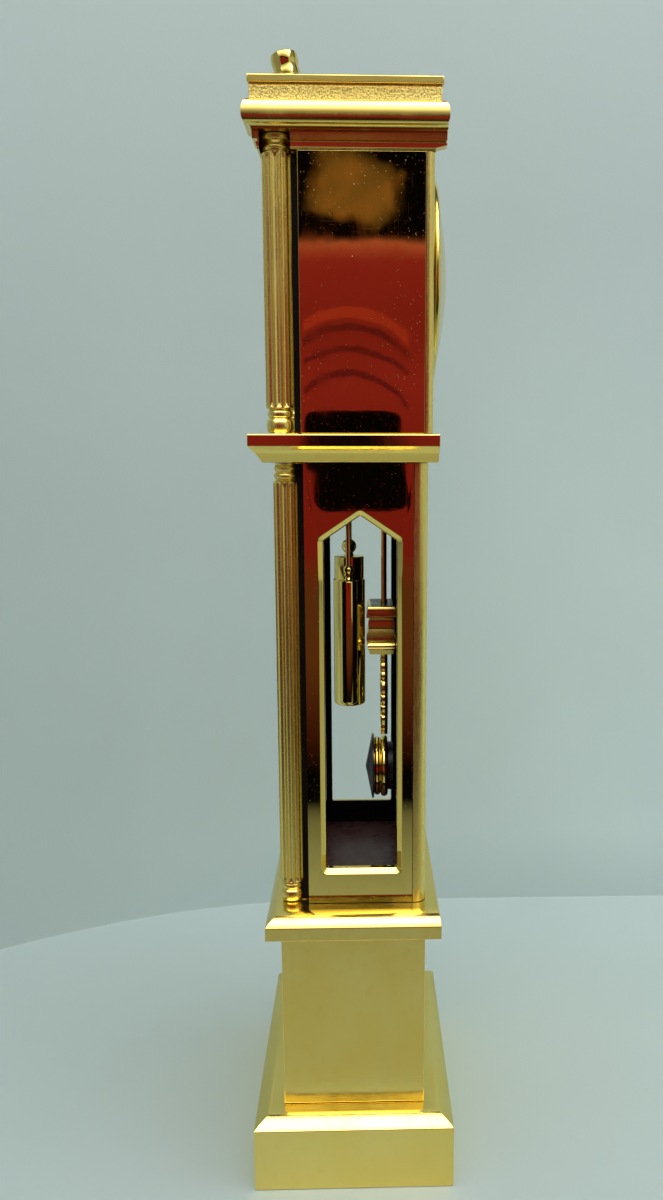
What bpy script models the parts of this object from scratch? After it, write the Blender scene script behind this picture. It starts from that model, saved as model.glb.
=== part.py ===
"""Miniature longcase clock in gold-plated brass, with a small quartz movement.

The clock stands on the plane z = 0, centred on the z axis, with its dial facing -Y.
Lengths below are in millimetres; to_mesh() turns them into metres.
"""

import math

import bmesh
import bpy
from mathutils import Matrix, Vector

MM = 0.001
SEAM = 0.1          # gap between case pieces that touch
PLAY = 0.3          # gap around a piece that moves

# Pedestal
BASE_HALF_X = 24.0
BASE_HALF_Y = 16.85
BASE_FACE_TOP = 11.0
BASE_TOP = 12.6
BASE_ROUND = 2.4          # how far the quarter-round on top comes in
DIE_HALF_X = 19.3
DIE_HALF_Y = 12.05
DIE_BOTTOM = BASE_TOP + SEAM
DIE_TOP = 43.95
FELT_THICK = 0.8
FELT_MARGIN = 2.4
SCREW_X = 9.0
SCREW_SHANK_R = 0.9
SCREW_HEAD_R = 1.8
SCREW_HEAD_Z = 4.2
SCREW_HEAD_THICK = 1.5
SCREW_TIP_Z = 21.0

# Trunk and the moulding that it stands on
FOOT_HALF_X = 21.7
FOOT_FRONT_Y = -14.5
FOOT_BACK_Y = 14.6
FOOT_FACE_TOP = 46.3
FOOT_TOP = 48.05
FOOT_ROUND = 2.2
TRUNK_BOTTOM = FOOT_TOP + SEAM
TRUNK_FLOOR_TOP = 49.6
TRUNK_TOP = 121.9
TRUNK_HALF_X = 16.5
TRUNK_FRONT_Y = -7.5
TRUNK_BACK_Y = 12.3
TRUNK_BACK_THICK = 2.25
TRUNK_BACK_CORNER_R = 1.7
TRUNK_DOOR_THICK = 1.2
PANEL_THICK = 1.5
WINDOW_FRONT_Y = -4.45
WINDOW_BACK_Y = 7.3
WINDOW_SILL = 54.1
WINDOW_SHOULDER = 109.6
WINDOW_APEX = 113.6
WINDOW_BEVEL = 0.75
WINDOW_BEVEL_DEPTH = 0.55
FRONT_OPENING_HALF_X = 8.6
FRONT_OPENING_APEX = 114.8
TRUNK_COLUMN_X = 14.3
TRUNK_COLUMN_Y = -10.45
TRUNK_COLUMN_R = 2.0

# Hood
SHELF_BOTTOM = TRUNK_TOP + SEAM
SHELF_FACE_BOTTOM = 124.7
SHELF_TOP = 126.4
SHELF_HALF_X = 19.6
SHELF_FRONT_Y = -15.8
SHELF_BACK_Y = 13.8
HOOD_HALF_X = 17.4
HOOD_TOP = 167.8
HOOD_FRONT_Y = -7.7
HOOD_FACE_Y = -8.35
HOOD_BACK_Y = 12.9
HOOD_BACK_THICK = 1.25
HOOD_BACK_CORNER_R = 1.0
HOOD_COLUMN_X = 15.0
HOOD_COLUMN_Y = -11.0
HOOD_COLUMN_R = 2.25
HOOD_COLUMN_TOP = 170.3
CORNICE_BOTTOM = HOOD_TOP + SEAM
CORNICE_SOFFIT = 170.4
CORNICE_COVE_TOP = 171.4
CORNICE_TOP = 174.3
CORNICE_HALF_X = 19.8
CORNICE_FRONT_Y = -15.6
CORNICE_BACK_Y = 14.8
FRIEZE_HALF_X = 17.4
FRIEZE_FRONT_Y = -13.6
FRONT_BREAK_HALF_X = 12.6     # the cornice's front overhang stops here, above the columns
FRONT_BREAK_Y = -12.4
BACK_BREAK_HALF_X = 15.5
BACK_BREAK_Y = 13.05
CROWN_HALF_X = 18.3
CROWN_FRONT_Y = -14.8
CROWN_BACK_Y = 14.0
CROWN_SHOULDER = 177.9
CROWN_ARCH_HALF_X = 14.6
CROWN_APEX = 183.2
FINIAL_Y = -9.7
FINIAL_R = 2.3
FINIAL_HEIGHT = 4.1
FINIAL_LEAN = math.radians(11.0)

# Dial and movement
DIAL_Z = 151.5
DIAL_R = 11.3
BEZEL_R = 12.35
CASE_R = 12.6
CASE_FRONT_Y = -6.9
CASE_BACK_Y = 0.5
CASE_WALL = 0.7
COVER_R = 16.5
COVER_HOLE_R = 14.9
COVER_CROWN_Y = 15.9
MOTION_DISTANCE = 5.0       # from the hands' axis to the minute wheel's
THIRD_DISTANCE = 5.0        # from the hands' axis to the third wheel's
HOUR_HAND_ANGLE = math.radians(-55.0)
MINUTE_HAND_ANGLE = math.radians(60.0)
BATTERY_R = 4.75
BATTERY_THICK = 2.7
BATTERY_X = 5.2
BATTERY_Z = DIAL_Z + 4.6

# Pieces that hang in the trunk
SEAT_BOTTOM = 118.6
SEAT_TOP = 119.6
SEAT_HOLE_R = 1.1
WEIGHT_Y = -0.6
SIDE_WEIGHT_X = 8.5
PENDULUM_Y = 5.55
PENDULUM_PIVOT_Z = 116.5
BLOCK_Y = 5.05            # the block's centre, clear of the centre weight
SIDE_WEIGHT_R = 1.45
SIDE_WEIGHT_BOTTOM = 80.8
SIDE_WEIGHT_TOP = 102.3
CENTRE_WEIGHT_R = 2.8
CENTRE_WEIGHT_BOTTOM = 78.5
CENTRE_WEIGHT_TOP = 101.4
CENTRE_CAP_R = 2.6
CENTRE_CAP_TOP = 105.6
WEIGHT_ROD_R = 0.45
PENDULUM_ROD_R = 0.45
LYRE_BOTTOM = 73.1
LYRE_TOP = 88.2
LYRE_HALF_THICK = 0.7
BOB_Z = 66.65
BOB_R = 5.85
BOB_FRONT_Y = 2.2         # the tips of the bob's two cones
BOB_BACK_Y = 7.6
BOB_RIM_FRONT_Y = 3.3
BOB_RIM_BACK_Y = 6.25

FINISHES = {
    "polished_gold": ((0.83, 0.62, 0.22), 0.08, 1.0),
    "satin_gold": ((0.74, 0.60, 0.26), 0.32, 1.0),
    "cast_gold": ((0.66, 0.52, 0.20), 0.5, 1.0),
    "felt": ((0.03, 0.10, 0.05), 0.95, 0.0),
    "steel": ((0.62, 0.62, 0.64), 0.3, 1.0),
    "dark_lining": ((0.09, 0.06, 0.05), 0.45, 0.0),
    "dial_white": ((0.86, 0.84, 0.78), 0.5, 0.0),
    "hand_black": ((0.02, 0.02, 0.02), 0.35, 0.0),
    "crystal": ((0.9, 0.95, 0.95), 0.03, 0.0),
    "movement_plastic": ((0.08, 0.08, 0.09), 0.5, 0.0),
    "wheel_brass": ((0.78, 0.60, 0.28), 0.3, 1.0),
    "copper_wire": ((0.72, 0.30, 0.14), 0.4, 1.0),
    "board_green": ((0.04, 0.22, 0.10), 0.5, 0.0),
}


# ---------------------------------------------------------------- helpers

def clear_scene():
    for obj in list(bpy.data.objects):
        bpy.data.objects.remove(obj, do_unlink=True)


def make_material(name, finish):
    colour, roughness, metallic = FINISHES[finish]
    material = bpy.data.materials.new(name + "_finish")
    material.use_nodes = True
    shader = material.node_tree.nodes["Principled BSDF"]
    shader.inputs["Base Color"].default_value = (*colour, 1.0)
    shader.inputs["Roughness"].default_value = roughness
    shader.inputs["Metallic"].default_value = metallic
    return material


def to_mesh(name, bm, finish=None, origin=(0, 0, 0), smooth=None):
    """Turn a bmesh in millimetres into a named object whose origin is at origin."""
    bmesh.ops.recalc_face_normals(bm, faces=bm.faces)
    bmesh.ops.transform(bm, matrix=Matrix.Translation(-Vector(origin)), verts=bm.verts)
    bmesh.ops.scale(bm, vec=(MM, MM, MM), verts=bm.verts)
    mesh = bpy.data.meshes.new(name)
    bm.to_mesh(mesh)
    bm.free()
    if smooth is not None:
        mesh.shade_smooth()
        mesh.set_sharp_from_angle(angle=math.radians(smooth))
    obj = bpy.data.objects.new(name, mesh)
    obj.location = Vector(origin) * MM
    bpy.context.scene.collection.objects.link(obj)
    if finish is not None:
        mesh.materials.append(make_material(name, finish))
    return obj


def add_boolean(obj, tool, operation):
    tool.hide_render = True
    tool.display_type = "WIRE"
    modifier = obj.modifiers.new(operation.title(), "BOOLEAN")
    modifier.operation = operation
    modifier.solver = "EXACT"
    modifier.object = tool


def cut(obj, *tools):
    for tool in tools:
        add_boolean(obj, tool, "DIFFERENCE")


def join(obj, *tools):
    for tool in tools:
        add_boolean(obj, tool, "UNION")


def box(name, low, high, finish=None):
    bm = bmesh.new()
    bmesh.ops.create_cube(bm, size=1.0)
    size = [high[i] - low[i] for i in range(3)]
    centre = [(high[i] + low[i]) / 2 for i in range(3)]
    bmesh.ops.scale(bm, vec=size, verts=bm.verts)
    bmesh.ops.translate(bm, vec=centre, verts=bm.verts)
    return to_mesh(name, bm, finish)


def bridge(bm, rings, closed=False):
    """Join rings of vertices, where a ring of one is a tip; cap both ends unless closed."""
    count = max(len(ring) for ring in rings)
    pairs = list(zip(rings, rings[1:]))
    if closed:
        pairs.append((rings[-1], rings[0]))
    for lower, upper in pairs:
        for i in range(count):
            j = (i + 1) % count
            if len(lower) == 1:
                bm.faces.new((lower[0], upper[i], upper[j]))
            elif len(upper) == 1:
                bm.faces.new((lower[i], lower[j], upper[0]))
            else:
                bm.faces.new((lower[i], lower[j], upper[j], upper[i]))
    if not closed:
        for ring in (rings[0], rings[-1]):
            if len(ring) > 2:
                bm.faces.new(ring)


def prism(name, outline, axis, start, end, finish=None, origin=(0, 0, 0), smooth=None):
    """Extrude an outline of (u, v) points: (y, z) along X, (x, z) along Y, (x, y) along Z."""
    place = {
        "X": lambda u, v, w: (w, u, v),
        "Y": lambda u, v, w: (u, w, v),
        "Z": lambda u, v, w: (u, v, w),
    }[axis]
    bm = bmesh.new()
    rings = [[bm.verts.new(place(u, v, w)) for u, v in outline] for w in (start, end)]
    bridge(bm, rings)
    return to_mesh(name, bm, finish, origin, smooth)


def moulding(name, levels, finish=None, smooth=None, origin=(0, 0, 0)):
    """Stack rectangles (half_x, front_y, back_y, z) into one moulded block."""
    bm = bmesh.new()
    rings = []
    for half_x, front, back, z in levels:
        corners = ((-half_x, front), (half_x, front), (half_x, back), (-half_x, back))
        rings.append([bm.verts.new((x, y, z)) for x, y in corners])
    bridge(bm, rings)
    return to_mesh(name, bm, finish, origin, smooth)


def arc(start, end, steps, bulge):
    """Quarter-ellipse from start to end, both (out, z); bulge is out or in."""
    points = []
    for i in range(steps + 1):
        t = math.pi / 2 * i / steps
        if bulge == "out":
            a, b = 1 - math.cos(t), math.sin(t)
        else:
            a, b = math.sin(t), 1 - math.cos(t)
        points.append((start[0] + (end[0] - start[0]) * a, start[1] + (end[1] - start[1]) * b))
    return points


def turned(name, profile, finish=None, axis="Z", centre=(0, 0, 0), segments=32,
           ring=False, shape=None, smooth=40, origin=None):
    """Turn a profile of (radius, height) points about an axis through centre.

    A ring profile is closed on itself and keeps clear of the axis. shape(radius, height,
    angle) may change the radius, for flutes and teeth.
    """
    turn = Matrix.Identity(3) if axis == "Z" else Matrix.Rotation(math.pi / 2, 3, "X")
    flip = 1 if axis == "Z" else -1
    bm = bmesh.new()
    rings = []
    for radius, height in profile:
        if radius < 1e-6:
            rings.append([bm.verts.new(Vector(centre) + turn @ Vector((0, 0, flip * height)))])
            continue
        points = []
        for i in range(segments):
            angle = 2 * math.pi * i / segments
            r = shape(radius, height, angle) if shape else radius
            spot = Vector((r * math.cos(angle), r * math.sin(angle), flip * height))
            points.append(bm.verts.new(Vector(centre) + turn @ spot))
        rings.append(points)
    bridge(bm, rings, ring)
    return to_mesh(name, bm, finish, centre if origin is None else origin, smooth)


def cylinder(name, axis, centre, radius, start, end, segments=24, finish=None):
    """Plain round bar or cutter between two heights along its axis."""
    profile = ((radius, start), (radius, end))
    return turned(name, profile, finish, axis, centre, segments)


def inset_levels(points, half_x, front, back, back_share=1.0):
    """Rectangles of a moulding whose outline is (inset, z) from a base rectangle.

    The back comes in by back_share of the inset.
    """
    return [(half_x - d, front + d, back - d * back_share, z) for d, z in points]


# ---------------------------------------------------------------- pedestal

def screw_holes(name, radius, low, high):
    return [cylinder(f"{name}_{side}_cutter", "Z", (x, 0, 0), radius, low, high)
            for side, x in (("left", -SCREW_X), ("right", SCREW_X))]


def build_pedestal():
    outline = [(0.0, 0.0)] + arc((0.0, BASE_FACE_TOP), (BASE_ROUND, BASE_TOP), 5, "out")
    levels = inset_levels(outline, BASE_HALF_X, -BASE_HALF_Y, BASE_HALF_Y)
    plinth = moulding("base_plinth", levels, "satin_gold", smooth=35)
    felt_x = BASE_HALF_X - FELT_MARGIN
    felt_y = BASE_HALF_Y - FELT_MARGIN
    recess = box("felt_recess_cutter", (-felt_x, -felt_y, -1), (felt_x, felt_y, FELT_THICK + SEAM))
    head_top = SCREW_HEAD_Z + SCREW_HEAD_THICK
    cut(plinth, recess,
        *screw_holes("plinth_hole", SCREW_SHANK_R + PLAY, 0.5, DIE_BOTTOM + 1),
        *screw_holes("head_hole", SCREW_HEAD_R + PLAY, 0.5, head_top + PLAY))
    box("base_felt", (SEAM - felt_x, SEAM - felt_y, 0), (felt_x - SEAM, felt_y - SEAM, FELT_THICK),
        "felt")

    die = box("pedestal_die", (-DIE_HALF_X, -DIE_HALF_Y, DIE_BOTTOM),
              (DIE_HALF_X, DIE_HALF_Y, DIE_TOP), "satin_gold")
    cut(die, *screw_holes("die_hole", SCREW_SHANK_R + SEAM, DIE_BOTTOM - 1, SCREW_TIP_Z + 0.5))
    profile = [(0, SCREW_HEAD_Z), (SCREW_HEAD_R, SCREW_HEAD_Z), (SCREW_HEAD_R, head_top),
               (SCREW_SHANK_R, head_top), (SCREW_SHANK_R, SCREW_TIP_Z - 0.6), (0, SCREW_TIP_Z)]
    for side, x in (("left", -SCREW_X), ("right", SCREW_X)):
        turned(f"base_screw_{side}", profile, "steel", "Z", (x, 0, 0), 16)


def build_trunk_base():
    """Moulding between the pedestal and the trunk, flat on its top and at the back."""
    outline = [(0.0, DIE_TOP + SEAM)]
    outline += arc((0.0, FOOT_FACE_TOP), (FOOT_ROUND, FOOT_TOP), 5, "out")
    levels = inset_levels(outline, FOOT_HALF_X, FOOT_FRONT_Y, FOOT_BACK_Y, 0.15)
    moulding("trunk_base_moulding", levels, "satin_gold", smooth=35)


# ---------------------------------------------------------------- trunk

def window_outline(grow):
    """Pointed side window as (y, z) points, grown outward by grow."""
    middle = (WINDOW_FRONT_Y + WINDOW_BACK_Y) / 2
    return [(WINDOW_FRONT_Y - grow, WINDOW_SILL - grow), (WINDOW_BACK_Y + grow, WINDOW_SILL - grow),
            (WINDOW_BACK_Y + grow, WINDOW_SHOULDER + grow * 0.55), (middle, WINDOW_APEX + grow * 1.2),
            (WINDOW_FRONT_Y - grow, WINDOW_SHOULDER + grow * 0.55)]


def window_cutter(name, side):
    """Cutter through a side panel whose outer rim widens into a bevel."""
    outer = TRUNK_HALF_X
    steps = ((outer + 1.0, WINDOW_BEVEL), (outer, WINDOW_BEVEL), (outer - WINDOW_BEVEL_DEPTH, 0.0),
             (outer - PANEL_THICK - 1.0, 0.0))
    bm = bmesh.new()
    rings = [[bm.verts.new((side * x, y, z)) for y, z in window_outline(grow)] for x, grow in steps]
    bridge(bm, rings)
    return to_mesh(name, bm)


def rounded_back(name, half_x, low_y, high_y, radius, bottom, top, finish):
    """Back plate whose two outer upright edges are rounded."""
    right = [(half_x - radius + radius * math.cos(t), high_y - radius + radius * math.sin(t))
             for t in [math.pi / 2 * i / 5 for i in range(6)]]
    left = [(-x, y) for x, y in reversed(right)]
    outline = [(half_x, low_y)] + right + left + [(-half_x, low_y)]
    return prism(name, outline, "Z", bottom, top, finish, smooth=35)


def column(name, x, y, radius, bottom, top, finish):
    """Column whose fluted shaft stands on two rings and carries a ring and a round cap."""
    height = top - bottom
    base = [(0, 0), (0.86, 0), (0.97, 0.25), (0.97, 0.75), (0.8, 1.0), (0.9, 1.2), (0.9, 1.45),
            (0.8, 1.62)]
    capital = [(0.8, 1.37), (0.88, 1.15), (0.88, 0.9), (0.78, 0.78), (0.78, 0.5), (0.93, 0.4),
               (0.93, 0), (0, 0)]
    flutes = (1.85 * radius, height - 1.5 * radius)

    def flute(r, h, angle):
        step = round(angle / (2 * math.pi / 36))
        groove = flutes[0] - 0.01 <= h <= flutes[1] + 0.01 and step % 3 == 0
        return r - 0.12 * radius if groove else r

    profile = [(radius * r, radius * h) for r, h in base]
    profile += [(radius, flutes[0]), (radius, flutes[1])]
    profile += [(radius * r, height - radius * h) for r, h in capital]
    return turned(name, profile, finish, "Z", (x, y, bottom), 36, shape=flute, smooth=30)


def build_trunk():
    inner_back = TRUNK_BACK_Y - TRUNK_BACK_THICK - SEAM
    for side, sign in (("left", -1), ("right", 1)):
        edges = sorted((sign * TRUNK_HALF_X, sign * (TRUNK_HALF_X - PANEL_THICK)))
        panel = box(f"trunk_side_{side}", (edges[0], TRUNK_FRONT_Y, TRUNK_BOTTOM),
                    (edges[1], inner_back, TRUNK_TOP), "polished_gold")
        cut(panel, window_cutter(f"window_cutter_{side}", sign))
        column(f"trunk_column_{side}", sign * TRUNK_COLUMN_X, TRUNK_COLUMN_Y, TRUNK_COLUMN_R,
               TRUNK_BOTTOM, TRUNK_TOP, "satin_gold")
    rounded_back("trunk_back", TRUNK_HALF_X, TRUNK_BACK_Y - TRUNK_BACK_THICK, TRUNK_BACK_Y,
                 TRUNK_BACK_CORNER_R, TRUNK_BOTTOM, TRUNK_TOP, "satin_gold")

    inner_x = TRUNK_HALF_X - PANEL_THICK - SEAM
    door_y = (TRUNK_FRONT_Y - TRUNK_DOOR_THICK / 2, TRUNK_FRONT_Y + TRUNK_DOOR_THICK / 2)
    front = box("trunk_front", (-inner_x, door_y[0], TRUNK_BOTTOM), (inner_x, door_y[1], TRUNK_TOP),
                "polished_gold")
    half = FRONT_OPENING_HALF_X
    opening = [(-half, WINDOW_SILL), (half, WINDOW_SILL), (half, WINDOW_SHOULDER),
               (0, FRONT_OPENING_APEX), (-half, WINDOW_SHOULDER)]
    cut(front, prism("front_opening_cutter", opening, "Y", door_y[0] - 2, door_y[1] + 2))

    inner_front = door_y[1] + SEAM
    box("trunk_floor", (-inner_x, inner_front, TRUNK_BOTTOM), (inner_x, inner_back, TRUNK_FLOOR_TOP),
        "dark_lining")
    seat = box("seat_board", (-inner_x, inner_front, SEAT_BOTTOM), (inner_x, inner_back, SEAT_TOP),
               "wheel_brass")
    cut(seat, *[cylinder(f"seat_hole_{i}_cutter", "Z", (x, WEIGHT_Y, 0), SEAT_HOLE_R,
                         SEAT_BOTTOM - 1, SEAT_TOP + 1, 16)
                for i, x in enumerate((-SIDE_WEIGHT_X, 0, SIDE_WEIGHT_X))])


# ---------------------------------------------------------------- hanging pieces

def ball(radius, centre_z, start, steps=4):
    """Profile points of a ball whose waist is at centre_z, from polar angle start."""
    points = []
    for i in range(steps + 1):
        t = -start + 2 * start * i / steps
        points.append((radius * math.cos(t), centre_z + radius * math.sin(t)))
    return points


def build_weights():
    """Three weights in a row; each rod hangs in the seat board by a round head."""
    head = [(WEIGHT_ROD_R, SEAT_TOP + 0.2), (1.3, SEAT_TOP + 0.3), (1.4, SEAT_TOP + 0.9),
            (0.9, SEAT_TOP + 1.6), (0, SEAT_TOP + 1.7)]
    radius, low, high = SIDE_WEIGHT_R, SIDE_WEIGHT_BOTTOM, SIDE_WEIGHT_TOP
    side_profile = [(0, low), (radius - 0.35, low), (radius, low + 0.4), (radius, high - 0.2),
                    (radius - 0.15, high), (0.6, high), (0.6, high + 0.9)]
    side_profile += ball(0.7, high + 1.7, 1.0) + [(WEIGHT_ROD_R, high + 2.5)] + head
    radius, low, high = CENTRE_WEIGHT_R, CENTRE_WEIGHT_BOTTOM, CENTRE_WEIGHT_TOP
    centre_profile = [(0, low), (radius - 0.6, low), (radius, low + 0.5), (radius, high - 0.2),
                      (CENTRE_CAP_R, high), (CENTRE_CAP_R, CENTRE_CAP_TOP - 0.3),
                      (CENTRE_CAP_R - 0.3, CENTRE_CAP_TOP), (0.8, CENTRE_CAP_TOP)]
    centre_profile += ball(1.4, CENTRE_CAP_TOP + 1.5, 1.0)
    centre_profile += [(WEIGHT_ROD_R, CENTRE_CAP_TOP + 2.8)] + head
    pieces = (("left", -SIDE_WEIGHT_X, side_profile), ("centre", 0, centre_profile),
              ("right", SIDE_WEIGHT_X, side_profile))
    for side, x, profile in pieces:
        turned(f"weight_{side}", profile, "polished_gold", "Z", (x, WEIGHT_Y, 0), 16,
               origin=(x, WEIGHT_Y, SEAT_TOP))


def build_pendulum():
    """Rod on a pin, with a moulded block, a lyre and a bob of two cones below it."""
    pivot = (0, PENDULUM_Y, PENDULUM_PIVOT_Z)
    inner_back = TRUNK_BACK_Y - TRUNK_BACK_THICK - SEAM
    pin_r = 0.45
    pin = [(0, 3.9), (2 * pin_r, 3.9), (2 * pin_r, 4.4), (pin_r, 4.4), (pin_r, inner_back),
           (0, inner_back)]
    turned("pendulum_pin", pin, "steel", "Y", (0, 0, PENDULUM_PIVOT_Z), 16)

    low_y, high_y = PENDULUM_Y - 0.55, PENDULUM_Y + 0.55
    eye_r = 1.6
    eye = [(pin_r + PLAY, low_y), (eye_r, low_y), (eye_r, high_y), (pin_r + PLAY, high_y)]
    rod = turned("pendulum_rod", eye, "polished_gold", "Y", (0, 0, PENDULUM_PIVOT_Z), 20,
                 ring=True, origin=pivot)
    block = ((4.2, 2.15, 97.0), (4.55, 2.5, 96.2), (4.55, 2.5, 95.5), (4.7, 2.65, 95.2),
             (4.7, 2.65, 95.0), (4.3, 2.25, 94.3), (4.35, 2.3, 92.9), (4.7, 2.65, 91.4),
             (4.7, 2.65, 90.8), (4.35, 2.3, 90.4), (4.3, 2.25, 89.2), (4.1, 2.05, 88.4))
    join(rod, cylinder("rod_shank_joiner", "Z", (0, PENDULUM_Y, 0), PENDULUM_ROD_R,
                       block[0][2] + SEAM, PENDULUM_PIVOT_Z - 1.2, 16))
    levels = [(half_x, BLOCK_Y - half_y, BLOCK_Y + half_y, z) for half_x, half_y, z in block]
    moulding("pendulum_crosspiece", levels, "polished_gold", origin=pivot)

    body = prism("pendulum_lyre", lyre_outline(0.0), "Y", PENDULUM_Y - LYRE_HALF_THICK,
                 PENDULUM_Y + LYRE_HALF_THICK, "satin_gold", pivot)
    cut(body, prism("lyre_eye_cutter", lyre_outline(1.3), "Y", PENDULUM_Y - 2, PENDULUM_Y + 2))

    groove_y = (BOB_RIM_FRONT_Y + BOB_RIM_BACK_Y) / 2
    bob = [(0, BOB_FRONT_Y), (BOB_R - 0.9, BOB_RIM_FRONT_Y - 0.2), (BOB_R, BOB_RIM_FRONT_Y + 0.2),
           (BOB_R - 0.2, groove_y), (BOB_R, groove_y + 0.2), (BOB_R, BOB_RIM_BACK_Y - 0.2),
           (BOB_R - 0.9, BOB_RIM_BACK_Y + 0.2), (0, BOB_BACK_Y)]
    turned("pendulum_bob", bob, "polished_gold", "Y", (0, 0, BOB_Z), 32, origin=pivot)


def lyre_outline(inset):
    """Lyre shape as (x, z) points, narrow at the neck and wide below."""
    bottom, top = LYRE_BOTTOM + inset, LYRE_TOP - inset
    height = top - bottom
    right = []
    steps = 10
    for i in range(steps + 1):
        t = i / steps
        width = 2.1 + 2.3 * math.sin(math.pi * (0.15 + 0.8 * t)) ** 2
        right.append((width - inset, bottom + height * t))
    return right + [(-x, z) for x, z in reversed(right)]


# ---------------------------------------------------------------- hood

def build_shelf():
    """Flat board whose front and side edges are bevelled underneath."""
    bevel = 2.7
    outline = [(bevel, SHELF_BOTTOM), (bevel - 0.4, SHELF_BOTTOM + 0.2),
               (0.1, SHELF_FACE_BOTTOM - 0.2), (0.0, SHELF_FACE_BOTTOM), (0.0, SHELF_TOP - 0.2),
               (0.2, SHELF_TOP)]
    levels = inset_levels(outline, SHELF_HALF_X, SHELF_FRONT_Y, SHELF_BACK_Y, 0.04)
    moulding("middle_shelf", levels, "polished_gold")


def build_hood():
    bottom = SHELF_TOP + SEAM
    for side, sign in (("left", -1), ("right", 1)):
        edges = sorted((sign * HOOD_HALF_X, sign * (HOOD_HALF_X - PANEL_THICK)))
        box(f"hood_side_{side}", (edges[0], HOOD_FRONT_Y, bottom),
            (edges[1], HOOD_BACK_Y - HOOD_BACK_THICK - SEAM, HOOD_TOP), "polished_gold")
        column(f"hood_column_{side}", sign * HOOD_COLUMN_X, HOOD_COLUMN_Y, HOOD_COLUMN_R,
               bottom, HOOD_COLUMN_TOP, "satin_gold")

    back = rounded_back("hood_back", HOOD_HALF_X, HOOD_BACK_Y - HOOD_BACK_THICK, HOOD_BACK_Y,
                        HOOD_BACK_CORNER_R, bottom, HOOD_TOP, "satin_gold")
    cut(back, cylinder("cover_hole_cutter", "Y", (0, 0, DIAL_Z), COVER_HOLE_R, 8, 16, 40))

    inner_x = HOOD_HALF_X - PANEL_THICK - SEAM
    front = box("hood_front", (-inner_x, HOOD_FACE_Y, bottom),
                (inner_x, CASE_FRONT_Y - SEAM, HOOD_TOP), "polished_gold")
    cut(front, cylinder("dial_hole_cutter", "Y", (0, 0, DIAL_Z), DIAL_R + PLAY, -12, -4, 40))


def build_cornice():
    """Frieze notched for the columns' tops, then a cove and a thick rounded nose.

    Its lowest strip steps in at the back to clear the round cover. The overhangs in front
    and behind are short returns: they break off between the columns.
    """
    levels = [(FRIEZE_HALF_X - 0.1, FRIEZE_FRONT_Y, HOOD_BACK_Y, CORNICE_BOTTOM),
              (FRIEZE_HALF_X - 0.1, FRIEZE_FRONT_Y, HOOD_BACK_Y, CORNICE_BOTTOM + 0.3),
              (FRIEZE_HALF_X, FRIEZE_FRONT_Y - 0.2, CORNICE_BACK_Y, CORNICE_BOTTOM + 0.7),
              (FRIEZE_HALF_X + 0.1, FRIEZE_FRONT_Y - 0.7, CORNICE_BACK_Y, CORNICE_SOFFIT - 0.05),
              (FRIEZE_HALF_X + 0.9, FRIEZE_FRONT_Y - 0.75, CORNICE_BACK_Y, CORNICE_SOFFIT),
              (FRIEZE_HALF_X + 1.0, FRIEZE_FRONT_Y - 0.8, CORNICE_BACK_Y, CORNICE_SOFFIT + 0.3),
              (FRIEZE_HALF_X + 1.5, FRIEZE_FRONT_Y - 1.2, CORNICE_BACK_Y, CORNICE_COVE_TOP - 0.3)]
    nose = [(0.35, CORNICE_COVE_TOP - 0.1), (0.05, CORNICE_COVE_TOP + 0.4)]
    nose += arc((0.0, CORNICE_TOP - 1.4), (1.0, CORNICE_TOP), 3, "out")
    levels += inset_levels(nose, CORNICE_HALF_X, CORNICE_FRONT_Y, CORNICE_BACK_Y, 0.6)
    cornice = moulding("cornice", levels, "polished_gold", smooth=35)
    socket_r = HOOD_COLUMN_R + SEAM
    for i, sign in enumerate((-1, 1)):
        centre = (sign * HOOD_COLUMN_X, HOOD_COLUMN_Y, 0)
        sides = sorted((sign * HOOD_COLUMN_X, sign * (FRIEZE_HALF_X + 3)))
        notch = box(f"column_notch_{i}_cutter", (sides[0], HOOD_COLUMN_Y - socket_r, HOOD_TOP - 5),
                    (sides[1], HOOD_COLUMN_Y + socket_r, HOOD_COLUMN_TOP + SEAM))
        cut(cornice, notch, cylinder(f"column_socket_{i}_cutter", "Z", centre, socket_r,
                                     HOOD_TOP - 5, HOOD_COLUMN_TOP + SEAM))
    bottom, top = CORNICE_BOTTOM - 1, CORNICE_TOP + 1
    front = box("front_break_cutter", (-FRONT_BREAK_HALF_X, CORNICE_FRONT_Y - 1, bottom),
                (FRONT_BREAK_HALF_X, FRONT_BREAK_Y, top))
    back = box("back_break_cutter", (-BACK_BREAK_HALF_X, BACK_BREAK_Y, bottom),
               (BACK_BREAK_HALF_X, CORNICE_BACK_Y + 1, top))
    cut(cornice, front, back)


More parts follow.
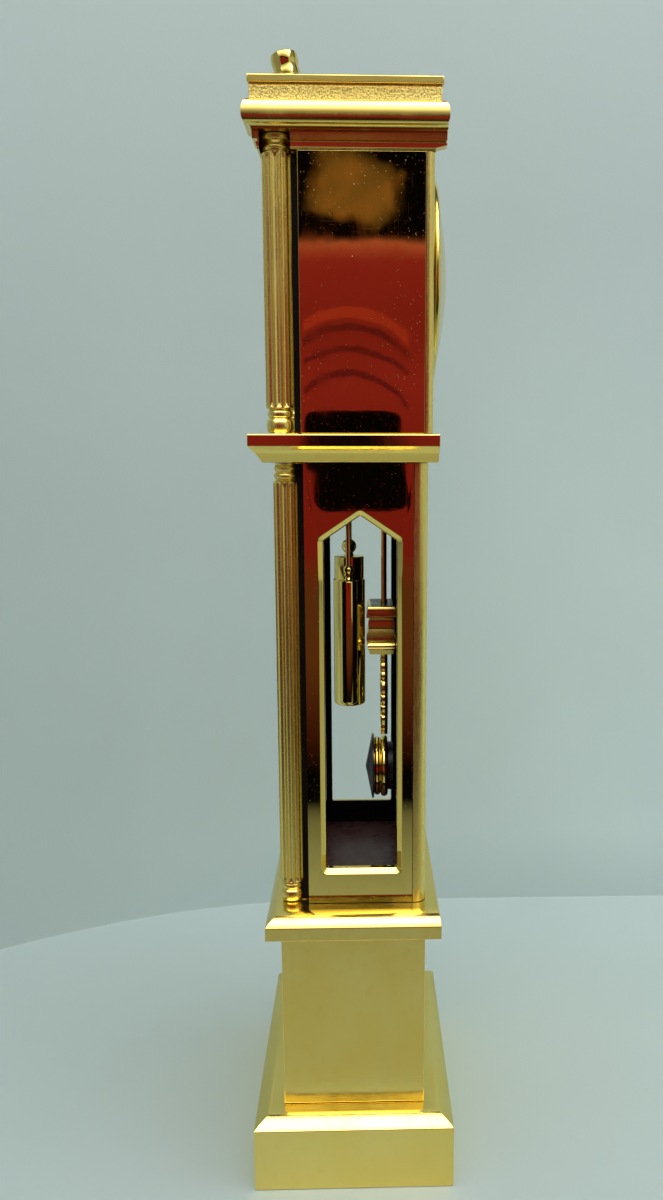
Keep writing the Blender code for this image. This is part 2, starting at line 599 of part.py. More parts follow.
def build_crown():
    """Block with an arched top, and the turned finial that leans forward on it."""
    bottom = CORNICE_TOP + SEAM
    rise = CROWN_APEX - CROWN_SHOULDER
    radius = (CROWN_ARCH_HALF_X ** 2 + rise ** 2) / (2 * rise)
    reach = math.asin(CROWN_ARCH_HALF_X / radius)
    steps = 24
    arch = []
    for i in range(steps + 1):
        t = reach * (1 - 2 * i / steps)
        arch.append((radius * math.sin(t), CROWN_APEX - radius * (1 - math.cos(t))))
    outline = [(-CROWN_HALF_X, bottom), (CROWN_HALF_X, bottom), (CROWN_HALF_X, CROWN_SHOULDER)]
    outline += arch + [(-CROWN_HALF_X, CROWN_SHOULDER)]
    prism("crown", outline, "Y", CROWN_FRONT_Y, CROWN_BACK_Y, "cast_gold", smooth=30)

    foot = (0, FINIAL_Y, CROWN_APEX + 0.2)
    profile = [(0, 0), (FINIAL_R * 0.95, 0), (FINIAL_R * 0.95, 0.5), (FINIAL_R * 0.8, 0.9),
               (FINIAL_R, 1.6), (FINIAL_R, FINIAL_HEIGHT - 1.2),
               (FINIAL_R * 0.86, FINIAL_HEIGHT - 0.5),
               (FINIAL_R * 0.5, FINIAL_HEIGHT - 0.1), (0, FINIAL_HEIGHT)]
    finial = turned("finial", profile, "polished_gold", "Z", (0, 0, 0), 24)
    lean = Matrix.Rotation(FINIAL_LEAN, 4, "X")
    finial.data.transform(Matrix.Translation((0, 0, 0.4 * MM)) @ lean)
    finial.location = Vector(foot) * MM


# ---------------------------------------------------------------- dial and movement

def build_dial():
    axis_point = (0, 0, DIAL_Z)
    bezel = [(11.45, -8.45), (BEZEL_R, -8.45), (BEZEL_R, -9.5), (12.0, -10.3), (11.5, -10.6),
             (10.9, -10.3), (10.9, -9.9), (11.45, -9.9)]
    turned("dial_bezel", bezel, "polished_gold", "Y", axis_point, 40, ring=True)
    turned("dial_crystal", [(0, -9.8), (DIAL_R, -9.8), (DIAL_R, -9.2), (0, -9.2)], "crystal",
           "Y", axis_point, 40)
    turned("dial_plate", [(1.25, -8.2), (DIAL_R, -8.2), (DIAL_R, -7.7), (1.25, -7.7)],
           "dial_white", "Y", axis_point, 40, ring=True)


def hand(name, length, tail, width, hub, hole, low_y, high_y, angle):
    """Tapered hand on a round hub, turned clockwise from twelve as seen from the front."""
    upright = [(-width / 2, -tail), (width / 2, -tail), (width * 0.8, length * 0.35),
               (width * 0.2, length), (-width * 0.2, length), (-width * 0.8, length * 0.35)]
    turn = Matrix.Rotation(-angle, 2)
    outline = []
    for x, z in upright:
        spot = turn @ Vector((x, z))
        outline.append((spot.x, DIAL_Z + spot.y))
    axis_point = (0, (low_y + high_y) / 2, DIAL_Z)
    blade = prism(name, outline, "Y", low_y, high_y, "hand_black", axis_point)
    join(blade, cylinder(f"{name}_hub_joiner", "Y", (0, 0, DIAL_Z), hub, low_y, high_y))
    cut(blade, cylinder(f"{name}_hole_cutter", "Y", (0, 0, DIAL_Z), hole, low_y - 1, high_y + 1, 16))


def toothed(teeth, low_radius):
    """Shape that gives radii above low_radius a rim of teeth."""
    def shape(radius, height, angle):
        if radius <= low_radius:
            return radius
        return radius if math.cos(teeth * angle) > 0.9 else radius - 0.25
    return shape


def wheel(name, x, z, profile, teeth, low_radius, ring=False):
    turned(name, profile, "wheel_brass", "Y", (x, 0, z), teeth * 3, ring=ring,
           shape=toothed(teeth, low_radius), smooth=20)


def build_movement():
    front = CASE_FRONT_Y
    hour_r, minute_r = 4.0, 3.75
    shell = [(1.25, front), (CASE_R, front), (CASE_R, CASE_BACK_Y), (CASE_R - CASE_WALL, CASE_BACK_Y),
             (CASE_R - CASE_WALL, front + 0.6), (1.25, front + 0.6)]
    turned("movement_case", shell, "movement_plastic", "Y", (0, 0, DIAL_Z), 40, ring=True)

    wheel("hour_wheel", 0, DIAL_Z, [(0.65, -8.8), (1.05, -8.8), (1.05, -6.1), (hour_r, -6.1),
                                    (hour_r, -5.7), (0.65, -5.7)], 12, 2.0, ring=True)
    wheel("centre_wheel", 0, DIAL_Z, [(0, -9.1), (0.45, -9.1), (0.45, -5.4), (1.15, -5.4),
                                      (1.15, -4.8), (0.45, -4.8), (0.45, -4.4), (4.2, -4.4),
                                      (4.2, -4.0), (0.45, -4.0), (0.45, -0.4), (0, -0.4)], 12, 2.0)
    motion_z = DIAL_Z - MOTION_DISTANCE
    wheel("minute_wheel", 0, motion_z, [(0, -6.2), (0.9, -6.2), (0.9, -5.6), (minute_r - 0.1, -5.4),
                                        (minute_r - 0.1, -4.8), (0.4, -4.8), (0.4, -4.7),
                                        (0, -4.7)], 12, 2.0)
    wheel("third_wheel", -THIRD_DISTANCE, DIAL_Z, [(0, -4.6), (0.6, -4.6), (0.6, -3.6), (3.6, -3.4),
                                                   (3.6, -3.0), (0.4, -3.0), (0.4, -1.2),
                                                   (0, -1.2)], 12, 2.0)
    turned("stepper_coil", [(0, -4.5), (1.7, -4.5), (1.7, -3.9), (1.25, -3.9), (1.25, 3.9), (1.7, 3.9),
                            (1.7, 4.5), (0, 4.5)], "copper_wire", "Z", (8.2, -3.6, DIAL_Z - 1.0), 16)
    board = prism("circuit_board", [(-10.3, DIAL_Z + 1.2), (-1.0, DIAL_Z + 1.2),
                                    (-1.0, DIAL_Z + 11.2), (-4.5, DIAL_Z + 10.6),
                                    (-8.8, DIAL_Z + 7.2)], "Y", -2.4, -1.8, "board_green")
    cut(board, cylinder("board_hole_cutter", "Y", (-THIRD_DISTANCE, 0, DIAL_Z), 0.8, -4, 0, 16))

    cell = (BATTERY_X, 0, BATTERY_Z)
    turned("coin_battery", [(0, -1.3), (BATTERY_R - 0.8, -1.3), (BATTERY_R - 0.8, -0.9),
                            (BATTERY_R, -0.7), (BATTERY_R, BATTERY_THICK - 1.5),
                            (BATTERY_R - 0.2, BATTERY_THICK - 1.3), (0, BATTERY_THICK - 1.3)],
           "steel", "Y", cell, 32)
    cover = turned("movement_cover", [(0, CASE_BACK_Y + SEAM), (CASE_R, CASE_BACK_Y + SEAM),
                                      (CASE_R, CASE_BACK_Y + 0.8), (0, CASE_BACK_Y + 0.8)],
                   "movement_plastic", "Y", (0, 0, DIAL_Z), 40)
    cut(cover, cylinder("battery_hole_cutter", "Y", cell, BATTERY_R + PLAY, -2, 4, 32),
        cylinder("knob_hole_cutter", "Y", (0, 0, motion_z), 0.8, -2, 4, 16))
    knob = [(0, -4.5), (0.45, -4.5), (0.45, 1.7), (2.2, 1.7), (2.2, 3.6), (1.9, 3.9), (0, 3.9)]
    turned("setting_knob", knob, "movement_plastic", "Y", (0, 0, motion_z), 24)


def build_back_cover():
    """Round domed cover pressed into the hole of the hood's back."""
    rim = HOOD_BACK_Y + SEAM
    steps = 4
    dome = []
    for i in range(steps + 1):
        t = i / steps
        rise = (COVER_CROWN_Y - rim - 0.6) * math.sin(t * math.pi / 2)
        dome.append((COVER_R * (1 - t), rim + 0.6 + rise))
    inside = [(r * 0.88, y - 0.8) for r, y in reversed(dome)]
    skirt = [(14.0, rim + 0.1), (14.0, 11.4), (14.6, 11.4), (14.6, rim), (COVER_R, rim)]
    profile = inside[:-1] + skirt + dome
    turned("back_cover", profile, "polished_gold", "Y", (0, 0, DIAL_Z), 40)


def main():
    clear_scene()
    build_pedestal()
    build_trunk_base()
    build_trunk()
    build_weights()
    build_pendulum()
    build_shelf()
    build_hood()
    build_cornice()
    build_crown()
    build_dial()
    hand("hour_hand", 6.2, 1.6, 0.8, 1.8, 1.15, -8.75, -8.55, HOUR_HAND_ANGLE)
    hand("minute_hand", 9.2, 2.2, 0.6, 1.3, 0.55, -9.05, -8.85, MINUTE_HAND_ANGLE)
    build_movement()
    build_back_cover()


main()
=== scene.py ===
"""Looks of the miniature gold-plated longcase clock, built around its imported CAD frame.

Lengths inside the piece builders are in millimetres; to_piece() turns them into metres.
"""

import math

import bmesh
import bpy
from mathutils import Matrix, Vector


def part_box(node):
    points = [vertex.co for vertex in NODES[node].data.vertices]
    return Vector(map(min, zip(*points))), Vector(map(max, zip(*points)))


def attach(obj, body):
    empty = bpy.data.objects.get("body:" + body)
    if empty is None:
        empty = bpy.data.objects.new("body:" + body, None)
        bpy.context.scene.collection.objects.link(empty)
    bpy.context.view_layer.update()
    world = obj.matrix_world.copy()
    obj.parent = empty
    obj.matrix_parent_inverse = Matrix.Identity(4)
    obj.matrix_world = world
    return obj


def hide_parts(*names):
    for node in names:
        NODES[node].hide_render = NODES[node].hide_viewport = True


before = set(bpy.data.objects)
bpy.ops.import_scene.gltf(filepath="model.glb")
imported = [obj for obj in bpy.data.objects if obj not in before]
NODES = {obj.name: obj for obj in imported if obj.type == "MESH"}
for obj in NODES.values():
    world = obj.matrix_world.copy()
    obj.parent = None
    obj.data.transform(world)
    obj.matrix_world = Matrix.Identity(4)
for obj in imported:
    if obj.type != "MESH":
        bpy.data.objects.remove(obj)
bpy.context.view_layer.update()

MM = 0.001

# Camera at the reference view: metres, radians and shares of the image's long side
CAMERA_PLACE = (0.1656, 0.0018, 0.1245)
CAMERA_YAW = 0.030
CAMERA_PITCH = 0.162
CAMERA_ROLL = -0.001
FOCAL_SHARE = 0.7828333
SENSOR = 36.0
SHIFT_X = -0.0493


def box_mm(node):
    """Lowest and highest corner of a CAD node, in millimetres."""
    low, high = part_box(node)
    return low / MM, high / MM


# ---------------------------------------------------------------- node helpers

class Nodes:
    """Builds one material's node tree with short calls."""

    def __init__(self, name):
        self.material = bpy.data.materials.new(name)
        self.material.use_nodes = True
        self.tree = self.material.node_tree
        self.shader = self.tree.nodes["Principled BSDF"]
        self.place = self.tree.nodes.new("ShaderNodeTexCoord").outputs["Object"]

    def add(self, kind, inputs=(), **settings):
        node = self.tree.nodes.new(kind)
        for key, value in settings.items():
            setattr(node, key, value)
        for key, value in dict(inputs).items():
            self.feed(node.inputs[key], value)
        return node

    def feed(self, socket, value):
        if isinstance(value, bpy.types.NodeSocket):
            self.tree.links.new(value, socket)
        else:
            socket.default_value = value

    def stretch(self, sizes):
        """Coordinates in units of sizes: millimetres along x, y and z, or one size for all."""
        if not isinstance(sizes, tuple):
            sizes = (sizes, sizes, sizes)
        scale = [1 / (size * MM) for size in sizes]
        return self.add("ShaderNodeMapping", {"Vector": self.place, "Scale": scale}).outputs[0]

    def noise(self, sizes, detail=3.0, rough=0.55, warp=0.0):
        inputs = {"Vector": self.stretch(sizes), "Scale": 1.0, "Detail": detail,
                  "Roughness": rough, "Distortion": warp}
        return self.add("ShaderNodeTexNoise", inputs).outputs["Fac"]

    def cells(self, sizes, feature="F1"):
        inputs = {"Vector": self.stretch(sizes), "Scale": 1.0}
        return self.add("ShaderNodeTexVoronoi", inputs, feature=feature).outputs["Distance"]

    def span(self, value, low, high, out_low=0.0, out_high=1.0):
        inputs = {"Value": value, "From Min": low, "From Max": high, "To Min": out_low,
                  "To Max": out_high}
        return self.add("ShaderNodeMapRange", inputs).outputs[0]

    def vary(self, value, low, high):
        """A noise's usual reach, spread between low and high."""
        return self.span(value, 0.3, 0.7, low, high)

    def spots(self, sizes, core, edge, feature="F1"):
        """Soft marks where a cell pattern's distance is small: full up to core, gone at edge."""
        return self.span(self.cells(sizes, feature), core, edge, 1.0, 0.0)

    def math(self, operation, a, b=0.0):
        return self.add("ShaderNodeMath", {0: a, 1: b}, operation=operation).outputs[0]

    def plus(self, a, b):
        return self.math("ADD", a, b)

    def times(self, a, b):
        return self.math("MULTIPLY", a, b)

    def mix(self, share, a, b):
        node = self.add("ShaderNodeMix", data_type="RGBA", blend_type="MIX")
        for socket, value in ((node.inputs[0], share), (node.inputs[6], a), (node.inputs[7], b)):
            self.feed(socket, value)
        return node.outputs[2]

    def bump(self, height, depth, before=None):
        """Bump whose full height is depth millimetres."""
        inputs = {"Height": height, "Strength": 1.0, "Distance": depth * MM}
        if before is not None:
            inputs["Normal"] = before
        return self.add("ShaderNodeBump", inputs).outputs[0]

    def finish(self, colour=None, rough=None, normal=None, **constants):
        """Feed the shader; constants are set on its own sockets."""
        links = {"Base Color": colour, "Roughness": rough, "Normal": normal}
        for key, value in links.items():
            if value is not None:
                self.feed(self.shader.inputs[key], value)
        for key, value in constants.items():
            self.shader.inputs[key.replace("_", " ")].default_value = value
        return self.material

    def glow(self, colour):
        """Finish as a black surface that gives off a colour."""
        self.feed(self.shader.inputs["Emission Color"], colour)
        return self.finish(rgb(0, 0, 0), 1.0, Emission_Strength=1.0, Specular_IOR_Level=0.0)


def rgb(red, green, blue):
    return (red, green, blue, 1.0)


# ---------------------------------------------------------------- materials

GOLD = rgb(0.80, 0.62, 0.17)
GOLD_PALE = rgb(0.81, 0.66, 0.22)
GOLD_WARM = rgb(0.74, 0.50, 0.12)


def gold(name, rough, rough_spread, grain=0.0, brush=None, specks=0.0, pale=0.5, wave=0.0,
         scratch=1.0):
    """Gold plate: cloudy colour, hairlines, handling smears, dust specks and grain, with painted shade
    in the grain's low spots.
    """
    n = Nodes(name)
    cloud = n.noise((9, 9, 13), 4, 0.6)
    mottle = n.noise((1.6, 1.6, 2.2), 3)
    tone = n.mix(n.span(cloud, 0.38, 0.66), GOLD, n.mix(pale, GOLD, GOLD_PALE))
    tone = n.mix(n.span(mottle, 0.56, 0.78, 0.0, 0.35), tone, GOLD_WARM)
    smear = n.span(n.noise((3, 5, 14), 5, 0.7, 0.6), 0.48, 0.72)
    hair = n.math("MAXIMUM",
                  n.span(n.noise((0.10, 0.10, 6.0), 2), 0.62, 0.74),
                  n.span(n.noise((0.12, 5.0, 0.10), 2), 0.64, 0.76))
    roughness = n.plus(n.span(smear, 0, 1, rough, rough + rough_spread),
                       n.times(hair, rough_spread * 0.8 * scratch))
    height = n.times(hair, -0.25 * scratch)
    if brush:
        lines = n.noise(brush, 4, 0.7)
        height = n.plus(height, lines)
        roughness = n.plus(roughness, n.span(lines, 0.35, 0.7, 0.0, rough_spread))
    normal = n.bump(height, 0.003)
    if wave:
        normal = n.bump(n.noise((6, 6, 8), 2, 0.4), wave, normal)
    if grain:
        peel = n.plus(n.noise((0.22, 0.22, 0.30), 3, 0.7),
                      n.times(n.cells((0.24, 0.24, 0.34)), 0.35))
        normal = n.bump(peel, grain, normal)
        # Painted shade: the grain's low spots are coloured dark.
        tone = n.mix(n.span(peel, 0.50, 0.74, 0.8, 0.0), tone, rgb(0.16, 0.12, 0.035))
    if specks:
        scatter = n.times(n.span(n.noise((7, 7, 9), 3), 0.35, 0.62, 0.3, 1.0),
                          n.span(n.noise(0.9, 1), 0.42, 0.62))
        fine = n.times(n.spots(0.40, 0.06, 0.15), scatter)
        large = n.spots(2.6, 0.015, 0.035)
        dust = n.times(n.math("MAXIMUM", n.times(fine, 0.8), large), specks)
        tone = n.mix(dust, tone, rgb(0.62, 0.56, 0.42))
        roughness = n.plus(roughness, n.times(dust, 0.6))
        normal = n.bump(dust, 0.012, normal)
    return n.finish(tone, roughness, normal, Metallic=1.0)


def felt():
    n = Nodes("green_felt")
    fibre = n.noise((0.12, 0.9, 0.3), 4, 0.7, 1.2)
    matting = n.noise((1.4, 1.1, 1.0), 4)
    tone = n.mix(fibre, rgb(0.012, 0.055, 0.028), rgb(0.05, 0.15, 0.075))
    tone = n.mix(n.span(matting, 0.4, 0.7, 0.0, 0.5), tone, rgb(0.02, 0.07, 0.04))
    normal = n.bump(n.plus(fibre, matting), 0.12)
    return n.finish(tone, n.vary(fibre, 0.82, 0.98), normal, Sheen_Weight=0.6)


def lacquer():
    """Dark lacquer on the trunk's floor, with settled dust."""
    n = Nodes("dark_lacquer")
    cloud = n.noise((5, 4, 4), 4)
    dust = n.spots(0.5, 0.06, 0.12)
    film = n.span(n.noise((2.4, 3.4, 3), 4, 0.7), 0.45, 0.7)
    tone = n.mix(cloud, rgb(0.060, 0.024, 0.022), rgb(0.110, 0.046, 0.042))
    tone = n.mix(n.times(film, 0.3), tone, rgb(0.13, 0.075, 0.080))
    tone = n.mix(n.times(dust, 0.6), tone, rgb(0.42, 0.38, 0.32))
    normal = n.bump(n.plus(n.noise(0.4, 3), dust), 0.015)
    return n.finish(tone, n.span(film, 0, 1, 0.25, 0.5), normal, Specular_IOR_Level=0.2)


def lining():
    """Near-black skin with small gold flecks: inside the trunk, and as painted shade in the gaps
    behind the columns.
    """
    n = Nodes("flecked_dark_skin_and_painted_shade")
    cloud = n.noise((6, 6, 8), 4)
    thick = n.span(n.noise((5, 5, 9), 3), 0.40, 0.62, 0.25, 1.0)
    flecks = n.times(n.spots(0.48, 0.05, 0.10), thick)
    tone = n.mix(cloud, rgb(0.003, 0.002, 0.002), rgb(0.010, 0.007, 0.006))
    tone = n.mix(flecks, tone, rgb(0.42, 0.31, 0.13))
    normal = n.bump(n.plus(n.noise(0.5, 3), flecks), 0.02)
    return n.finish(tone, n.vary(cloud, 0.5, 0.7), normal, Specular_IOR_Level=0.05)


def enamel():
    """Matt cream dial paint with faint clouds and small pits."""
    n = Nodes("dial_enamel")
    cloud = n.noise(4, 5)
    pits = n.spots(0.3, 0.02, 0.06)
    tone = n.mix(cloud, rgb(0.80, 0.77, 0.68), rgb(0.88, 0.86, 0.79))
    tone = n.mix(n.times(pits, 0.3), tone, rgb(0.45, 0.40, 0.30))
    normal = n.bump(n.plus(n.noise(0.15, 2), pits), 0.006)
    return n.finish(tone, n.vary(cloud, 0.38, 0.55), normal, Coat_Weight=0.15)


def black_lacquer():
    n = Nodes("black_lacquer")
    cloud = n.noise(1.5, 4)
    tone = n.mix(cloud, rgb(0.006, 0.006, 0.007), rgb(0.020, 0.018, 0.018))
    normal = n.bump(n.noise(0.1, 2), 0.004)
    return n.finish(tone, n.vary(cloud, 0.22, 0.40), normal, Specular_IOR_Level=0.3)


def crystal():
    n = Nodes("dial_crystal_glass")
    smear = n.span(n.noise((3, 3, 5), 5, 0.7, 0.8), 0.5, 0.75)
    scratch = n.span(n.noise((0.08, 3.0, 3.0), 2), 0.68, 0.76)
    rough = n.plus(n.span(smear, 0, 1, 0.01, 0.06), n.times(scratch, 0.05))
    tone = n.mix(smear, rgb(0.97, 0.985, 0.98), rgb(0.93, 0.95, 0.94))
    normal = n.bump(scratch, -0.002)
    return n.finish(tone, rough, normal, Transmission_Weight=1.0, IOR=1.49)


def turned_metal(name, turn, cloud_size, dark, light, stain, stain_reach, smoothest):
    """Bare metal with fine tool lines along y and a duller stain in clouds."""
    n = Nodes(name)
    lines = n.noise(turn, 4, 0.7)
    cloud = n.noise(cloud_size, 4)
    tone = n.mix(lines, rgb(*dark), rgb(*light))
    tone = n.mix(n.span(cloud, 0.5, *stain_reach), tone, rgb(*stain))
    return n.finish(tone, n.vary(lines, smoothest, 0.42), n.bump(lines, 0.006), Metallic=1.0)


def steel():
    return turned_metal("machined_steel", (0.15, 4.0, 0.15), 3, (0.42, 0.42, 0.43),
                        (0.66, 0.66, 0.67), (0.36, 0.33, 0.29), (0.75, 0.0, 0.4), 0.2)


def machined_brass():
    return turned_metal("machined_brass", (0.12, 3.0, 0.12), 4, (0.60, 0.41, 0.15),
                        (0.80, 0.62, 0.28), (0.42, 0.25, 0.09), (0.72, 0.0, 0.5), 0.22)


def plastic():
    n = Nodes("moulded_plastic")
    spark = n.noise(0.18, 4, 0.7)
    cloud = n.noise(5, 3)
    tone = n.mix(cloud, rgb(0.022, 0.022, 0.025), rgb(0.052, 0.052, 0.056))
    return n.finish(tone, n.vary(spark, 0.42, 0.62), n.bump(spark, 0.012))


def copper_coil():
    n = Nodes("enamelled_copper")
    inputs = {"Vector": n.stretch(0.9), "Scale": 1.0, "Distortion": 0.3, "Detail": 1.0}
    turns = n.add("ShaderNodeTexWave", inputs, bands_direction="Z").outputs["Fac"]
    tone = n.mix(turns, rgb(0.30, 0.08, 0.03), rgb(0.75, 0.28, 0.11))
    return n.finish(tone, n.span(turns, 0, 1, 0.5, 0.25), n.bump(turns, 0.05), Metallic=0.8)


def circuit():
    n = Nodes("solder_mask")
    track = n.spots(2.2, 0.04, 0.07, "DISTANCE_TO_EDGE")
    weave = n.noise(0.2, 3)
    tone = n.mix(n.times(track, 0.7), rgb(0.015, 0.12, 0.045), rgb(0.06, 0.30, 0.10))
    tone = n.mix(n.times(weave, 0.25), tone, rgb(0.01, 0.06, 0.03))
    return n.finish(tone, n.vary(weave, 0.28, 0.45), n.bump(track, 0.03))


# ---------------------------------------------------------------- mesh helpers

def to_piece(name, bm, material, body="case", replaces=(), slot=None, sharp=32, bevel=0.0):
    """Turn a bmesh in millimetres into a riding, shaded piece."""
    bmesh.ops.recalc_face_normals(bm, faces=bm.faces)
    bmesh.ops.scale(bm, vec=(MM, MM, MM), verts=bm.verts)
    mesh = bpy.data.meshes.new(name)
    bm.to_mesh(mesh)
    bm.free()
    mesh.materials.append(material)
    mesh.shade_smooth()
    mesh.set_sharp_from_angle(angle=math.radians(sharp))
    obj = bpy.data.objects.new(name, mesh)
    bpy.context.scene.collection.objects.link(obj)
    if bevel:
        soften(obj, bevel)
    if body:
        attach(obj, body)
    if replaces:
        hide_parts(*replaces)
    return obj


def soften(obj, width, segments=3):
    """Round an object's sharp edges, and keep its flat faces flat."""
    bevel = obj.modifiers.new("Rounded edges", "BEVEL")
    bevel.width = width * MM
    bevel.segments = segments
    bevel.limit_method = "ANGLE"
    bevel.angle_limit = math.radians(32)
    obj.data.shade_smooth()
    keep_faces_flat(obj)


def keep_faces_flat(obj):
    normals = obj.modifiers.new("Flat faces", "WEIGHTED_NORMAL")
    normals.keep_sharp = True
    normals.weight = 100


def skin(bm, rings, closed=False, wrap=True):
    """Bridge rings of vertices; a ring of one vertex is a tip. Ends are capped unless closed."""
    pairs = list(zip(rings, rings[1:]))
    if closed:
        pairs.append((rings[-1], rings[0]))
    count = max(len(ring) for ring in rings)
    for low, high in pairs:
        for i in range(count if wrap else count - 1):
            j = (i + 1) % count
            if len(low) == 1:
                bm.faces.new((low[0], high[i], high[j]))
            elif len(high) == 1:
                bm.faces.new((low[i], low[j], high[0]))
            else:
                bm.faces.new((low[i], low[j], high[j], high[i]))
    if not closed:
        for ring in (rings[0], rings[-1]):
            if len(ring) > 2:
                bm.faces.new(ring)


def lathe(bm, profile, centre, axis="Z", segments=64, ring=False, shape=None):
    """Turn (radius, height) points about an axis through centre, into bm."""
    rings = []
    for radius, height in profile:
        count = 1 if radius < 1e-6 else segments
        points = []
        for i in range(count):
            angle = 2 * math.pi * i / segments
            r = shape(radius, height, angle) if shape and count > 1 else radius
            u, v = r * math.cos(angle), r * math.sin(angle)
            offset = (u, v, height) if axis == "Z" else (u, height, v)
            points.append(bm.verts.new(Vector(centre) + Vector(offset)))
        rings.append(points)
    skin(bm, rings, closed=ring)


def turned(name, profile, centre, material, axis="Z", segments=64, ring=False, shape=None,
           **options):
    bm = bmesh.new()
    lathe(bm, profile, centre, axis, segments, ring, shape)
    return to_piece(name, bm, material, **options)


def arc(centre, radius, start, end, steps):
    """Points of a circle's arc in degrees, as (u, v); radius may be a pair."""
    ru, rv = radius if isinstance(radius, tuple) else (radius, radius)
    angles = [math.radians(start + (end - start) * i / steps) for i in range(steps + 1)]
    return [(centre[0] + ru * math.cos(a), centre[1] + rv * math.sin(a)) for a in angles]


def block(size, middle):
    """Box of a size around its middle."""
    bm = bmesh.new()
    bmesh.ops.create_cube(bm, size=1.0)
    bmesh.ops.scale(bm, vec=size, verts=bm.verts)
    bmesh.ops.translate(bm, vec=middle, verts=bm.verts)
    return bm


def facing(u, v, y):
    """Place of an outline's point that is drawn as seen from the front."""
    return (u, y, v)


def prism(outline, ends, place=facing, bm=None):
    """Solid between an outline's copies at two ends, in a new bmesh or added to bm."""
    bm = bmesh.new() if bm is None else bm
    skin(bm, [[bm.verts.new(place(u, v, end)) for u, v in outline] for end in ends])
    return bm


def front_rect(low, high):
    return [(low.x, low.z), (high.x, low.z), (high.x, high.z), (low.x, high.z)]


def stack(low, high, levels):
    """Rectangles at (side, front, back, z) inside the box low-high, bridged into a block."""
    bm = bmesh.new()
    rings = []
    for side, front, back, z in levels:
        x, y0, y1 = high.x - side, low.y + front, high.y - back
        corners = ((-x, y0), (x, y0), (x, y1), (-x, y1))
        rings.append([bm.verts.new((u, v, z)) for u, v in corners])
    skin(bm, rings)
    return bm


def moulding(name, node, outline, material, back_share=1.0, bevel=0.06, **options):
    """Replace a node by a block whose outline is (inset, z) from the node's box."""
    levels = [(inset, inset, inset * back_share, z) for inset, z in outline]
    return to_piece(name, stack(*box_mm(node), levels), material, bevel=bevel,
                    replaces=[node], **options)


def plate_with_hole(place, outer, inner_rings, thick):
    """Plate from depth 0 to thick whose hole follows rings of (depth, points), front first."""
    bm = bmesh.new()

    def loop(points, depth):
        return [bm.verts.new(place(u, v, depth)) for u, v in points]

    front, back = loop(outer, 0.0), loop(outer, thick)
    holes = [loop(points, depth) for depth, points in inner_rings]
    skin_sides(bm, front, back)
    for low, high in zip(holes, holes[1:]):
        skin_sides(bm, low, high)
    for edge_loop, hole in ((front, holes[0]), (back, holes[-1])):
        edges = []
        for ring in (edge_loop, hole):
            for i, vert in enumerate(ring):
                other = ring[(i + 1) % len(ring)]
                edges.append(bm.edges.get((vert, other)) or bm.edges.new((vert, other)))
        bmesh.ops.triangle_fill(bm, use_beauty=True, edges=edges)
    return bm


def skin_sides(bm, low, high):
    count = len(low)
    for i in range(count):
        j = (i + 1) % count
        bm.faces.new((low[i], low[j], high[j], high[i]))


def round_corners(points, radius, steps=5):
    """Outline with each corner rounded by radius."""
    result = []
    count = len(points)
    for i, point in enumerate(points):
        here = Vector(point)
        before = (Vector(points[i - 1]) - here).normalized()
        after = (Vector(points[(i + 1) % count]) - here).normalized()
        half = before.angle(after) / 2
        cut = radius / math.tan(half)
        a, b = here + before * cut, here + after * cut
        for k in range(steps + 1):
            t = k / steps
            spot = a * (1 - t) ** 2 + here * 2 * t * (1 - t) + b * t ** 2
            result.append((spot.x, spot.y))
    return result


# ---------------------------------------------------------------- pedestal

def worn_slope(low_z, high_z, first, last):
    """Sloping top whose tilt grows from first to last degrees, then turns quickly flat."""
    steps = 12
    tilts = [math.radians(first + (last - first) * (k + 0.5) / steps) for k in range(steps)]
    step = (high_z - low_z) * 0.93 / sum(math.cos(tilt) for tilt in tilts)
    points = [(0.0, low_z)]
    for tilt in tilts + [math.radians(tilt) for tilt in (72, 79, 85)]:
        length = min(step, (high_z - points[-1][1]) * 0.8 / math.cos(tilt))
        points.append((points[-1][0] + length * math.sin(tilt),
                       points[-1][1] + length * math.cos(tilt)))
    points.append((points[-1][0] + 0.12, high_z))
    return points


def weathered_round(run, low_z, high_z, arris=30.0):
    """Round that rises from a crisp arris (its slope there in degrees) to a flat top."""
    start = math.radians(arris)
    points = []
    for k in range(15):
        a = start + (math.pi / 2 - start) * k / 14
        inset = run * (math.cos(start) - math.cos(a)) / math.cos(start)
        points.append((inset, low_z + (high_z - low_z) * (math.sin(a) - math.sin(start))
                       / (1 - math.sin(start))))
    return points


def build_pedestal(mat):
    """Plinth with a worn sloping top, plain die, and trunk foot under a broad round."""
    low, high = box_mm("base_plinth")
    outline = [(0.12, low.z), (0.0, low.z + 0.12)] + worn_slope(high.z - 1.6, high.z, 45, 68)
    moulding("plinth", "base_plinth", outline, mat["satin"])

    low, high = box_mm("pedestal_die")
    outline = [(0.0, low.z), (0.0, high.z)]
    moulding("die", "pedestal_die", outline, mat["satin"], bevel=0.15)

    low, high = box_mm("trunk_base_moulding")
    outline = [(0.1, low.z), (0.0, low.z + 0.1)] + weathered_round(3.2, high.z - 1.75, high.z)
    moulding("trunk_foot", "trunk_base_moulding", outline, mat["satin"], back_share=0.15)


# ---------------------------------------------------------------- columns

def bulge(swell, low, rise, steps):
    """Half-round ring of a capital, whose depth below the top shrinks from low by rise."""
    return [(0.78 + swell * math.sin(math.pi * k / steps), low - rise * k / steps)
            for k in range(steps + 1)]


# Capital rings as (radius, depth below the top), in shares of the shaft's radius
HOOD_CAPITAL = ([(0.78, 1.06)] + bulge(0.12, 0.98, 0.36, 6)
                + [(0.76, 0.58), (0.76, 0.38), (0.92, 0.32), (0.96, 0.28), (0.96, 0.04),
                   (0.92, 0.0), (0.0, 0.0)])
TRUNK_CAPITAL = ([(0.78, 1.38)] + bulge(0.18, 1.32, 0.62, 8) + bulge(0.14, 0.68, 0.50, 8)
                 + [(0.84, 0.1), (0.84, 0.0), (0.0, 0.0)])


